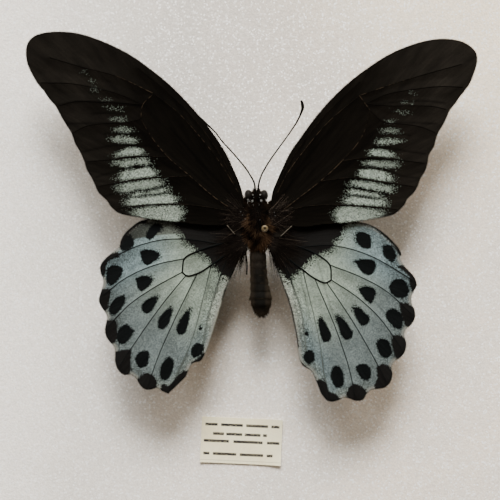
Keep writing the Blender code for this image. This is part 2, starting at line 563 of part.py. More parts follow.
def make_mouth(parts, material):
    for side, way in (("left", -1), ("right", 1)):
        route = [(HEAD_X + way * x, y, z, half) for x, y, z, half in PALP_ROUTE]
        limb(side + "_palp", bent_route(route, 2), 2, parts, material)
    x, y, z = PROBOSCIS_CENTRE
    outer, inner = PROBOSCIS_RADII
    coil = []
    for i in range(PROBOSCIS_POINTS):
        share = i / (PROBOSCIS_POINTS - 1)
        angle = math.radians(100) - share * PROBOSCIS_TURNS * math.tau
        radius = outer + (inner - outer) * share
        coil.append((x, y + radius * math.cos(angle), z + radius * math.sin(angle),
                     PROBOSCIS_THICKNESS))
    limb("proboscis", coil, 1, parts, material)


def main():
    clear_scene()
    parts = new_collection(OBJECT_NAME)
    cutters = new_collection("cutters")
    skins = {name: make_material(name) for name in MATERIALS}
    make_slab(parts, cutters, skins["foam"])
    make_label(parts, skins["paper"])
    make_pin(parts, skins["steel"], skins["pin_head"])
    make_body(parts, cutters, skins["body"], skins["eye"])
    make_mouth(parts, skins["limb"])
    for side, route in ANTENNA_ROUTES.items():
        limb(side + "_antenna", bent_route(route, 2), 1, parts, skins["limb"])
    for name, route in LEG_ROUTES.items():
        limb(name, bent_route(route, 2), 1, parts, skins["limb"])
    wings = (
        ("left_forewing", LEFT_FOREWING_OUTLINE, LEFT_FOREWING_VEINS, FOREWING_Z, "forewing"),
        ("right_forewing", RIGHT_FOREWING_OUTLINE, RIGHT_FOREWING_VEINS, FOREWING_Z, "forewing"),
        ("left_hindwing", LEFT_HINDWING_OUTLINE, LEFT_HINDWING_VEINS, HINDWING_Z, "hindwing"),
        ("right_hindwing", RIGHT_HINDWING_OUTLINE, RIGHT_HINDWING_VEINS, HINDWING_Z, "hindwing"),
    )
    for name, outline, veins, root_z, skin in wings:
        make_wing(name, outline, veins, root_z, parts, skins[skin])


main()
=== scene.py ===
"""Looks of the pinned butterfly on its foam slab, laid out as an add-on and run as a script.

Sizes in the tables are millimetres on the specimen seen from above, +Y towards its head.
"""

import math
import random

import bmesh
import bpy
import numpy as np
from bpy.props import FloatProperty, FloatVectorProperty, IntProperty, PointerProperty
from bpy.types import Operator, Panel, PropertyGroup
from mathutils import Matrix, Quaternion, Vector, noise
from mathutils.bvhtree import BVHTree


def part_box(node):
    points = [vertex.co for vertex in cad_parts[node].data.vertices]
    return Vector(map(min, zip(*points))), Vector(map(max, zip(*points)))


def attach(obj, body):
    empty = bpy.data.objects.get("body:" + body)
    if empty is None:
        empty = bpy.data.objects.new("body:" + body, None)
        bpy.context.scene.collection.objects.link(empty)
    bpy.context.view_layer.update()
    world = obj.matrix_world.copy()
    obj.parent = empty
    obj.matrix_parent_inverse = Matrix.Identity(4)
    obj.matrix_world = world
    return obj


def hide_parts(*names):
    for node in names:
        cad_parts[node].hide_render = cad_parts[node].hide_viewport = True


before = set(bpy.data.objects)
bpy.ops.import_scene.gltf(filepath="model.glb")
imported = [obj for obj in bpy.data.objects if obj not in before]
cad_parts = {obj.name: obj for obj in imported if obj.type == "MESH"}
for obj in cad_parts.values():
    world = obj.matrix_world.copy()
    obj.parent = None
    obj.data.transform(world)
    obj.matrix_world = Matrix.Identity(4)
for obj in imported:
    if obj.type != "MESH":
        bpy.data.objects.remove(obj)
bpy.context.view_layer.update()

bl_info = {
    "name": "Pinned butterfly looks",
    "version": (1, 0, 0),
    "blender": (4, 5, 0),
    "location": "3D View > Sidebar > Butterfly",
    "description": "Dresses a pinned butterfly and its foam slab with scales, hair and paper",
    "category": "Object",
}

MM = 0.001
TINY = 1e-7
MERGE_GAP = 0.001
SLIVER = 0.01
BODY_X = 2.05
PIN_AXIS = (3.8, 5.5)
FOAM_TOP = 12.0

# Specular levels of scales and hair, of foam, paper and enamel, and of the eyes
MATT = 0.015
PLAIN = 0.3
EYE_GLOSS = 0.04

# Wings: height of the root, and the corners between the smooth stretches of the outline
WING_RISE_OUTWARD = 0.015
WING_ROOT_Z = {"forewing": 27.2, "hindwing": 25.9}
WING_ROOTS = {"left_forewing": (-2.0, 8.5), "right_forewing": (6.1, 8.5),
              "left_hindwing": (-2.0, 2.5), "right_hindwing": (6.2, 2.5)}
WING_CORNERS = {
    "left_forewing": [(-32.5, 9.2), (-6.1, 6.6), (-2.1, 3.2), (-1.8, 14.1)],
    "right_forewing": [(34.7, 8.6), (11.1, 6.4), (6.3, 3.2), (5.6, 13.2)],
    "left_hindwing": [(-34.8, 0.7), (-21.9, -38.4), (-1.9, -0.1), (-2.0, 5.4)],
    "right_hindwing": [(40.4, -1.1), (5.7, -0.3), (6.2, 5.0)],
}
WING_SEEDS = {"left_forewing": 11, "right_forewing": 12, "left_hindwing": 13,
              "right_hindwing": 14}
WAVE_SEEDS = {"left_forewing": 0.3, "right_forewing": 5.1, "left_hindwing": 9.7,
              "right_hindwing": 14.2}
UPWARD = 0.8
RIM_STEP = 0.35
WAVE_LENGTH = 9.0
WAVE_HEIGHT = 0.12
VEIN_STEP = 0.4
VEIN_SIDES = 6
VEIN_RIDGE = 0.12
VEIN_RIDGE_WIDTH = 0.5
VEIN_SINK = 0.35
VEIN_ROOT_GROWTH = 0.25
VEIN_TAPER_END = 40.0
CELL_VEIN_WIDTH = 1.7
PLEAT_DEPTH = 0.22
PLEAT_REACH = (0.3, 3.0)
# Forewing veins near the body carry painted glint: where it fades out, and how much each vein
# takes
PALE_VEIN_END = (26.0, 42.0)
PALE_VEIN_ENDS = {"radial_branch": (42.0, 56.0), "cell_end": (50.0, 60.0)}
PALE_VEIN_USUAL = 0.15
PALE_VEINS = {"cubitus": 0.8, "cell_end": 0.7, "radial_branch": 0.8, "radius": 0.6}
# Hindwing veins that stay pale and thin
SOFT_VEINS = {"anal": 0.9, "cubitus_2": 0.55}
SOFT_VEIN_FROM = (11.0, 17.0)
SOFT_VEIN_THINNER = 0.4
REAR_EDGES = {"left_forewing": ((-6.1, 6.6), (-4.05, 4.25)),
              "right_forewing": ((11.1, 6.4), (8.2, 3.7))}
REAR_EDGE_POINTS = 12
REAR_EDGE_RADIUS = 0.085
REAR_EDGE_TONE = 4.0
# The dark hem along the inner rim of a hindwing, from near the root to near the tail
INNER_HEMS = {"left_hindwing": ((-3.6, -3.4), (-8.0, -13.0)),
              "right_hindwing": ((7.6, -4.2), (13.6, -26.0))}
HEM_WIDTH = 0.3
# Width of the painted shade along a fold line
FOLD_WIDTH = 0.28
FRINGE_GAP = 0.14
FRINGE_ROOT_GAP = 3.0
FRINGE_SWAY = 0.5
FRINGE_BURIED = 0.15
FRINGE_RADIUS = 0.045
FRINGE_TIP = 0.4
FRINGE_LENGTHS = (0.6, 1.0)
FRINGE_DROOP = 0.03
RAY_RADIUS = 40.0

# Pattern of scales
MARK_REACH = 3.0
MARK_STEP = 0.5
RIM_SCATTER = 0.16
MARK_SCATTER = {"faint": 0.3, "speck": 0.35, "lens": 0.42, "spot": 0.24, "outer": 0.28,
                "lobe": 0.3, "front_border": 0.35, "rear_edge": 0.25, "base": 1.25}
# Share of dark scales left inside each pale patch
PATCH_GAPS = {"faint_1": 0.85, "faint_7": 0.85, "faint_8": 0.8, "faint_2": 0.82,
              "faint_3": 0.74, "speck_4": 0.6, "lens_5": 0.42,
              "lens_6": 0.28, "lens_7": 0.2, "lens_8": 0.14, "lens_9": 0.08}
PATCH_GAPS_USUAL = 0.04
# How far the full scales stop inside the rim of each pale patch
PATCH_INSET = {"faint_1": 0.1, "faint_7": 0.1, "faint_8": 0.1, "faint_2": 0.3, "faint_3": 0.3,
               "speck_4": 0.32, "lens_5": 0.4, "lens_6": 0.36, "lens_7": 0.36, "lens_8": 0.36,
               "lens_9": 0.3, "lens_10": 0.26, "lens_11": 0.24}
PATCH_INSET_USUAL = 0.14
MARK_INSET = {"base": -0.3, "spot": -0.06, "outer": -0.06}
END_INSET = 0.55
END_GAPS = 0.5
OUTER_GAPS = 0.3
BROWN_MARKS = ("lobe", "front_border", "rear_edge", "base")
END_SCATTER = 1.0
END_SHARE = (0.45, 1.0)
ROOT_SIDE_SCATTER = 0.4
ROOT_SIDE_SHARE = (0.35, 1.0)
OUTER_SHARE = (-0.3, 1.2)
STRAY_FROM = 0.95
STRAY_REACH = 0.9
RIM_WOBBLE_SIZE = 0.7
RIM_WOBBLE = 0.2 * MM
RIM_SOFTNESS = 0.05 * MM
STREAK_LENGTH = 9.0
STREAK_RELIEF = 0.5
GRAIN_ROUGHNESS = 0.65

# Looks: streaks are given as width and contrast, grain and tones as size and contrast, a bump as
# depth and strength, and a ramp as its two ends and the values there

# Black and pale scales of the forewings
BLACK_STREAKS = (1.6, 1.6)
BLACK_FINE_STREAKS = (0.35, 0.9)
BLACK_GRAIN = (0.3, 1.0)
# Painted sheen greys the forewings' black from the body out to the tips, by how far out a point
# lies
OUTWARD_TURN = -0.72
OUTWARD_START = 20.0
TIP_SHEEN_FADES = (30.0, 62.0)
# Painted sheen that brightens the black towards the right forewing
RIGHT_WING_SHEEN = (-40.0 * MM, 50.0 * MM, 0.95, 1.3)
# Painted shade along the fold lines of the forewings
FOREWING_FOLD_SHADOW = -0.55
BAND_GRAIN = (0.24, 1.5)
BAND_STREAKS = (0.8, 0.3)
BAND_TONES = (0.22, 1.1)
GAPPY_SCALES_DIM = (0.04, 0.6, 1.0, 0.5)
BLACK_BY_VEIN = (0.1, 0.34)
SCALE_RELIEF = 0.2
SCALE_BUMP = (0.03, 0.6)

# Veins
# Patches in which painted glint lightens the brown veins near the body
VEIN_GLINT_PATCH_SIZE = 1.1 * MM
VEIN_GLINT_PATCHES = (0.4, 0.62)
REAR_EDGE_FROM = 1.5
VEIN_INTO_MARK = (-0.15, 0.1)
VEIN_GRAIN = 0.4
FOREWING_VEIN_CONTRAST = 1.4
HINDWING_VEIN_CONTRAST = 1.2
VEIN_RELIEF = 0.25
VEIN_BUMP = (0.03, 0.5)

# Pale scales and black marks of the hindwings
PALE_STREAKS = (2.4, 0.35)
PALE_FINE_STREAKS = (0.4, 0.3)
PALE_GRAIN = (0.26, 1.1)
PALE_FADES = (17.0, 36.0)
BLUE_IN_FRONT = (-20.0, -8.0)
BLUE_BEHIND = (-42.0, -52.0)
BLUE_OUTWARD = (14.0, 26.0)
BLUE_SHARE = 0.75
CLOUD_SIZE = 6.0 * MM
CLOUD_SHADE = (0.3, 0.7, 0.86, 1.12)
RIM_STRIP_EDGE = (3.2, 1.4)
RIM_STRIP_TURN = (-38.0, -43.0)
RIM_STRIP_FADES = (28.0, 20.0, 0.25, 1.0)
LEFT_WING = (5.0 * MM, -5.0 * MM)
# How much darker the left hindwing is near its root
LEFT_WING_DIM = (19.5, 15.5, 0.0, 0.2)
# Painted shadow of the fold near the front rim of the left hindwing
FRONT_SHADOW_SLANT = 0.32
FRONT_SHADOW_TURN = (9.2, 10.2)
FRONT_SHADOW_FADES = (20.0, 30.0, 1.0, 0.4)
PALE_TONE_SIZE = 0.3
PALE_TONE_CONTRAST = (1.0, 9.0, 0.75, 0.4)
VEIN_SHADE = 0.35
VEIN_SHADE_FROM = 0.05
VEIN_SHADE_REACH = (6.0, 0.5, 0.22, 0.5)
# Painted shade along the fold lines of the hindwings
HINDWING_FOLD_SHADOW = -0.35
MISSING_SCALE = 0.19
MISSING_SCALES = (12.0, 34.0, 0.04, 0.26)
MISSING_SHADE = 0.6
RIM_DUST = (0.6, 6.5, 0.12 * MM, -0.8 * MM)
RIM_DUST_SCATTER = 0.7
RIM_DUST_SHARE = 0.72
NOTCH_EDGE = (1.2, 0.15, 0.0, 0.6)
MARK_STREAKS = (0.6, 1.2)
MARK_GRAIN = (0.3, 1.0)

# Body
ABDOMEN_STATIONS = [
    (0.05, 2.15, 24.5, 1.4, 1.6), (-0.8, 2.15, 24.5, 2.0, 2.2), (-3.5, 2.2, 24.3, 2.1, 2.4),
    (-7.0, 2.35, 24.1, 2.15, 2.5), (-10.5, 2.75, 23.9, 2.5, 2.7),
    (-12.8, 2.95, 23.8, 2.8, 2.75), (-15.0, 3.0, 23.7, 2.45, 2.4),
    (-16.8, 3.1, 23.6, 1.5, 1.6), (-17.9, 3.15, 23.6, 0.75, 0.8),
]
ABDOMEN_FRONT = -0.8
ABDOMEN_RING = 2.05
ABDOMEN_SIDES = 40
ABDOMEN_ROWS = 110
RING_SWELL = 0.045
STATION_STEP = 0.3
END_ROUNDNESS = 14.0
EYE_HALF_SIZE = (1.06, 1.5, 1.65)
EYE_CENTRES = {"left": (-0.45, 14.65, 25.7), "right": (3.8, 14.6, 25.7)}
HEAD_HAIR_SIDE = 1.35
EYES_MIDDLE = (1.68, 14.62)
EYES_APART = 2.12
EYE_SIDES = 40
EYE_FACET = 0.07
EYE_RIM = (0.6, 1.0)
EYE_GRAIN = (0.5, 1.0)
EYE_BUMP = (0.01, 0.5)
THORAX_HALF = 3.7
COLLAR_REACH = (9.2, 11.2)
HAIR_SEED = 21
ABDOMEN_SEED = 22
LIMB_SEED = 23
HAIR_RADIUS = 0.045
FINE_HAIR_RADIUS = HAIR_RADIUS * 0.8
STRAND_SIDES = 4
HAIR_TAPER = 0.8
HAIR_BURIED = 0.1
HAIR_SHADE_ALONG = (0.0, 1.0, 0.65, 1.3)

# Hair on the thorax: a look comes in between two places along y, and between two shares of the
# half width
THORAX_LENGTHS = (0.55, 1.15)
THORAX_SHADES = (0.5, 1.5)
THORAX_TUFT_SIZE = 0.55
FRONT_FRINGE = ((9.0, 10.8), (0.3, 0.7))
BLACK_MIDDLE_Y = (0.8, 3.2)
BLACK_MIDDLE_WIDTH = 0.28
FLANK = ((9.8, 7.5), (0.45, 0.85))
REAR = (1.2, -0.6)
DARK_FRONT = ((5.8, 9.2), (0.4, 0.7))
BROWN_REAR = (4.5, 1.5)

# Hair on the head, the collar, the wing roots and the abdomen
HEAD_LENGTHS = (0.5, 1.1)
HEAD_TONES = (0.0, 0.25)
BLACK_TONES = (0.0, 0.2)
HAIR_SHADES = (0.5, 1.4)
COLLAR_SHADES = (0.5, 1.3)
COLLAR_LENGTHS = (0.6, 1.0)
COLLAR_FLARE_DEPTH = 1.3
SHOULDER_LENGTHS = (0.5, 1.25)
TUFT_LENGTHS = (0.8, 1.1)
TUFT_SHADES = (0.75, 1.15)
ROOT_HAIR_SETBACK = (0.0, 1.4)
ROOT_HAIR_SPREAD = (-2.0, 2.0)
ROOT_HAIR_BEND = (-0.12, 0.12)
ROOT_HAIR_TONES = (0.0, 0.17)
ABDOMEN_LENGTHS = (0.5, 1.0)
TAIL_HAIR = (-14.5, -18.0)
TAIL_PARTING = (3.1, -17.0)
BROWN_FLANK = (0.55, 0.95)
BROWN_FRONT = (-7.0, -1.0)
SIDE_TUFT_LENGTHS = (0.7, 1.3)
SIDE_TUFT_TONES = (0.2, 0.7)
BRISTLE_LENGTHS = (0.6, 1.1)
BRISTLE_TONES = (0.2, 0.6)
BRISTLE_SHADES = (0.6, 1.2)

# Skin and abdomen
SKIN_BUMP = (0.05, 0.7)
RIM_OF_RING = ((0.84, 0.92), (1.0, 0.95))
ABDOMEN_FLANKS = ((3.7 * MM, 4.7 * MM), (1.9 * MM, 0.4 * MM))
ABDOMEN_TAIL = (-15.0 * MM, -17.5 * MM)
ABDOMEN_PALE_FRONT = (-7.5 * MM, -3.0 * MM, 0.0, 0.4)
BALD_PATCHES = (0.45, 0.7)
BALD_PATCH_SIZE = 1.2 * MM
BALD_LINE = ((-12.85 * MM, -12.98 * MM), (-13.2 * MM, -13.05 * MM))
BALD_LINE_SHARE = 0.8
ABDOMEN_GRAIN = (0.3, 1.4)
ABDOMEN_RELIEF = 0.15
ABDOMEN_BUMP = (0.06, 0.7)

# Where the hair of the head, the collar and the wing roots stands
HEAD_HAIR = 0.6
COLLAR_CENTRE = (1.9, 25.6)
COLLAR_Y = (11.2, 13.3)
COLLAR_START = 1.2
COLLAR_HAIR = 2.1
COLLAR_FLARE = 1.3
# Black tufts that close the corners between the collar and the forewings
SHOULDERS = [(-1.1, 11.8, 26.0), (-1.4, 13.2, 25.9), (4.8, 11.5, 26.0), (5.2, 12.3, 25.9)]
SHOULDER_HAIRS = 300
COLLAR_HAIRS = 1500
# Tufts of scales as x, y, size, tone and how far they stand over the hair
WHITE_TUFTS = [
    (0.8, 14.65, 0.19, 0.75, 0.2), (2.65, 14.65, 0.17, 0.75, 0.2), (-0.5, 13.5, 0.13, 0.45, 0.1),
    (-0.5, 13.15, 0.11, 0.4, 0.1), (4.15, 13.5, 0.11, 0.35, 0.1), (0.75, 13.2, 0.2, 0.7, 0.8),
    (2.85, 13.3, 0.19, 0.65, 0.8), (4.6, 11.4, 0.12, 0.6, 0.5), (-0.1, 11.7, 0.07, 0.2, 0.5),
    (1.0, 11.7, 0.07, 0.2, 0.9), (2.4, 11.8, 0.07, 0.2, 0.9), (1.0, 14.0, 0.06, 0.15, 0.4),
    (2.5, 14.0, 0.06, 0.15, 0.4), (6.5, 10.0, 0.13, 0.32, 0.3), (6.7, 9.1, 0.13, 0.3, 0.3),
    (-2.5, 10.2, 0.14, 0.3, 0.3), (-2.1, 9.3, 0.14, 0.3, 0.3), (-1.9, 8.0, 0.1, 0.2, 0.3),
    (-1.0, 8.2, 0.1, 0.2, 0.3), (2.6, 8.0, 0.12, 0.15, 0.3)]
TUFT_SEARCH_Z = 40.0
TUFT_SCALES = 30
TUFT_HEIGHT = 0.8
TUFT_RADIUS = 0.06
TUFT_SWAY = 0.05
ROOT_FANS = {
    "forewing": {"hairs": 420, "angles": (-38.0, 62.0), "lengths": (2.0, 7.5), "rise": 0.6,
                 "pale_share": 0.08},
    "hindwing": {"hairs": 1100, "angles": (-84.0, 8.0), "lengths": (3.0, 10.5), "rise": 0.9,
                 "pale_share": 0.02},
}
ROOT_HAIR_POINTS = 6
ROOT_HAIR_LIFT = 0.22
ROOT_HAIR_RADIUS = 0.035
SIDE_TUFT = (0.2, -12.6, 23.9)
SIDE_TUFT_HAIRS = 22

# Thin limbs: each point is x, y, z and the half thickness there
ANTENNA_ROUTES = {
    "left": [(1.4, 15.4, 27.6, 0.25), (1.35, 16.4, 27.6, 0.23), (1.1, 17.9, 27.5, 0.22),
             (0.0, 20.0, 27.3, 0.21), (-1.3, 22.0, 27.1, 0.2), (-2.7, 23.7, 26.9, 0.2),
             (-5.3, 26.7, 26.6, 0.19), (-7.5, 29.1, 26.3, 0.19), (-9.3, 31.5, 26.1, 0.21),
             (-11.5, 33.6, 26.0, 0.25), (-13.2, 35.1, 25.9, 0.35), (-14.8, 36.3, 25.9, 0.41),
             (-15.7, 36.9, 25.9, 0.25)],
    "right": [(2.1, 15.4, 27.6, 0.25), (2.2, 16.6, 27.6, 0.23), (2.7, 19.0, 27.6, 0.22),
              (4.4, 22.4, 27.8, 0.2), (7.4, 26.8, 28.0, 0.19), (10.8, 31.5, 28.1, 0.19),
              (12.8, 34.7, 28.2, 0.22), (13.6, 36.5, 28.3, 0.29), (14.0, 37.8, 28.3, 0.39),
              (13.9, 38.9, 28.3, 0.41), (13.6, 39.8, 28.3, 0.25)],
}
PROBOSCIS_CENTRE = (1.75, 14.8, 21.7)
PROBOSCIS_TURNS = 2.25
PROBOSCIS_RADII = (1.35, 0.35)
PROBOSCIS_THICKNESS = 0.14
PROBOSCIS_POINTS = 30
LEG_ROUTES = {
    "left_front_leg": [(1.2, 10.6, 20.6, 0.3), (0.0, 12.3, 20.0, 0.3), (-1.1, 13.8, 20.5, 0.26),
                       (-0.6, 11.2, 19.0, 0.24), (-0.2, 8.6, 18.3, 0.2), (0.1, 6.0, 18.1, 0.16),
                       (0.4, 3.4, 18.3, 0.14)],
    "left_middle_leg": [(1.1, 8.0, 20.2, 0.32), (-0.9, 9.2, 19.4, 0.32),
                        (-2.6, 10.6, 19.2, 0.26), (-2.3, 7.6, 18.2, 0.24),
                        (-1.7, 5.0, 17.9, 0.2), (-1.0, 2.9, 18.1, 0.16), (-0.4, 1.1, 18.5, 0.14)],
    "left_hind_leg": [(1.1, 4.9, 20.3, 0.32), (-0.9, 5.5, 19.9, 0.32), (-2.9, 6.4, 20.2, 0.26),
                      (-2.3, 3.4, 19.8, 0.24), (-1.6, 0.9, 20.0, 0.21), (-1.1, -1.3, 20.3, 0.2),
                      (-0.8, -4.0, 20.5, 0.19), (-0.9, -6.7, 20.3, 0.18)],
    "right_front_leg": [(2.9, 10.6, 20.6, 0.3), (3.8, 11.8, 20.0, 0.3), (4.4, 12.9, 20.4, 0.26),
                        (4.2, 10.8, 18.9, 0.24), (3.7, 8.5, 18.3, 0.2), (2.9, 5.9, 18.0, 0.16),
                        (2.4, 3.4, 18.2, 0.14)],
    "right_middle_leg": [(3.0, 8.0, 20.2, 0.32), (5.0, 9.1, 19.4, 0.32),
                         (6.7, 10.3, 19.2, 0.26), (6.4, 7.4, 18.1, 0.24),
                         (5.7, 4.7, 17.7, 0.2), (4.8, 2.6, 17.9, 0.16), (3.9, 0.8, 18.3, 0.14)],
    "right_hind_leg": [(4.4, 4.0, 20.9, 0.32), (5.4, 4.9, 20.2, 0.32), (6.8, 6.0, 20.2, 0.26),
                       (6.4, 3.7, 19.6, 0.24), (5.3, 1.5, 19.5, 0.2), (4.0, -0.6, 19.8, 0.16),
                       (3.4, -2.8, 20.1, 0.15), (3.1, -5.0, 20.2, 0.14)],
}
LIMB_SIDES = 10
LIMB_POINTS_PER_RING = 5
ANTENNA_SEGMENT = 0.45
LEG_SEGMENT = 0.8
TONGUE_SEGMENT = 0.3
BRISTLE_GAP = 0.3
BRISTLE_LENGTH = 0.35
BRISTLE_RADIUS = 0.025
BRISTLE_SWAY = 0.1
BRISTLE_SLANT = 0.8
ANTENNA_SWELL = 0.08
LEG_SWELL = 0.12
TONGUE_SWELL = 0.06

# Pin head, as radius and height of its turned profile
PIN_HEAD_PROFILE = [
    (0.30, 41.74), (0.40, 41.84), (0.56, 41.84), (0.72, 41.70), (0.83, 41.45), (0.88, 41.12),
    (0.83, 40.78), (0.70, 40.50), (0.50, 40.37), (0.30, 40.40), (0.30, 41.10), (0.30, 41.74)]
PIN_STEPS = 48
PIN_TOP = 41.8
WIRE_END = ((PIN_TOP - 0.6) * MM, (PIN_TOP - 0.1) * MM)
WIRE_END_SHADE = 2.2
SCRATCH_STRETCH = 0.06
SCRATCH_SIZE = 0.06 * MM
DULL_SPOT_SIZE = 1.2 * MM
DULL_SPOTS = (0.5, 0.75)
DULL_ROUGHER = 0.3
BRIGHT_ROUGHNESS = 0.28
STEEL_BUMP = (0.01, 0.4)
# Where the enamel is darker: round the wire, and towards the head's rim
DARK_BY_WIRE = (0.5 * MM, 0.28 * MM)
DARK_RIM = (0.66 * MM, 0.86 * MM, 0.0, 0.7)
ENAMEL_GRAIN = (0.35, 0.8)
ENAMEL_RELIEF = 0.3
ENAMEL_BUMP = (0.02, 0.3)

# Foam and label
FOAM_CELLS = 75
FOAM_WAVE = 6.0
FOAM_SPARK = 0.42
DIMPLE_RADIUS = 0.7
DIMPLE_DEPTH = 0.25
STAIN_SIZE = 22.0 * MM
STAIN_SWAY = 60.0 * MM
# Yellowing and painted warm light, both growing towards the right
YELLOWED_AND_WARM_LIT = (-40.0 * MM, 110.0 * MM)
STAINED = (0.42, 0.72, 0.0, 0.6)
# Painted shade over the middle of the top, towards the head end
PAINTED_SHADE_UPWARD = (10.0 * MM, 50.0 * MM)
PAINTED_SHADE_ACROSS = (55.0 * MM, 10.0 * MM)
PAINTED_SHADE_DEPTH = -0.24
# Painted light, brighter at the left edge of the top
PAINTED_LIGHT_LEFT = (-72.0 * MM, -40.0 * MM, 1.14, 1.0)
# Painted warm light in the far right corner
PAINTED_WARM_CORNER = (60.0 * MM, 135.0 * MM, 0.0, 0.8)
FOAM_GRAIN = (0.7, 0.3)
FOAM_TONES = (0.3, 0.22)
DIM_PEBBLES = (0.75, 1.0)
DIM_PEBBLE_SHARE = 0.35
BRIGHT_PEBBLES = (0.8, 1.0)
BRIGHT_PEBBLE_SHARE = 0.5
SPARKS = (0.9, 0.94)
PEBBLE_RELIEF = -0.8
FOAM_RELIEF = 0.5
FOAM_BUMP = (0.12, 0.5)
LABEL_SIZE = (22.3, 12.6)
LABEL_CENTRE = (-2.4, -52.8)
LABEL_TURN = -2.6
LABEL_Z = 12.16
LABEL_THICKNESS = 0.2
LABEL_CELLS = (44, 26)
# Rows of ink strokes: level, start and end across the slip, strokes, and their shift
INK_ROWS = [(0.84, 0.04, 0.97, 3.2, 0.3), (0.64, 0.14, 0.82, 4.4, 0.7),
            (0.48, 0.03, 0.98, 2.4, 0.1), (0.20, 0.03, 0.90, 3.0, 0.6)]
INK_STROKE = (0.03 + 0.008, 0.03 - 0.008)
INK_STROKE_START = (0.05, 0.08)
INK_STROKE_END = (0.95, 0.92)
INK_ROW_FADE = 0.01
INK_SPOT_SIZE = 0.4 * MM
INK_WORN = (0.25, 0.5, 0.55, 1.0)
RULE_LEVEL = 0.06
RULE_LINE = (0.012, 0.004, 0.0, 0.3)
PAPER_CLOUD_SIZE = 5.0 * MM
PAPER_CLOUDS = (0.35, 0.7)
PAPER_GRAIN = (0.5, 0.25)
PAPER_RELIEF = 0.3
PAPER_BUMP = (0.03, 0.4)
CURL_RIGHT = 1.3
CURL_LEFT = 0.7

# Stage
SENSOR_WIDTH = 36.0
FLOOR_HALF = 1.5
LIGHT_DISTANCE = 2.0
LIGHT_SIZE = 0.8
CAMERA_CLIP = (0.01, 10.0)
# Name, degrees clockwise from the top of the picture, degrees up from the floor, power, colour
LIGHTS = [
    ("window light", 0, 38, 71.0, (1.0, 0.985, 0.95)),
    ("window light, left", -22, 38, 20.0, (1.0, 0.985, 0.95)),
    ("low light, right", 22, 22, 21.0, (1.0, 0.93, 0.82)),
    ("low light, left", -22, 22, 10.0, (1.0, 0.985, 0.95)),
    ("wall light, left", -70, 38, 8.5, (1.0, 0.95, 0.88)),
    ("wall light, right", 50, 38, 7.5, (1.0, 0.84, 0.66)),
    ("back light", 207, 52, 3.6, (1.0, 0.78, 0.56)),
]
DOME_COLOUR = (1.0, 0.78, 0.58)

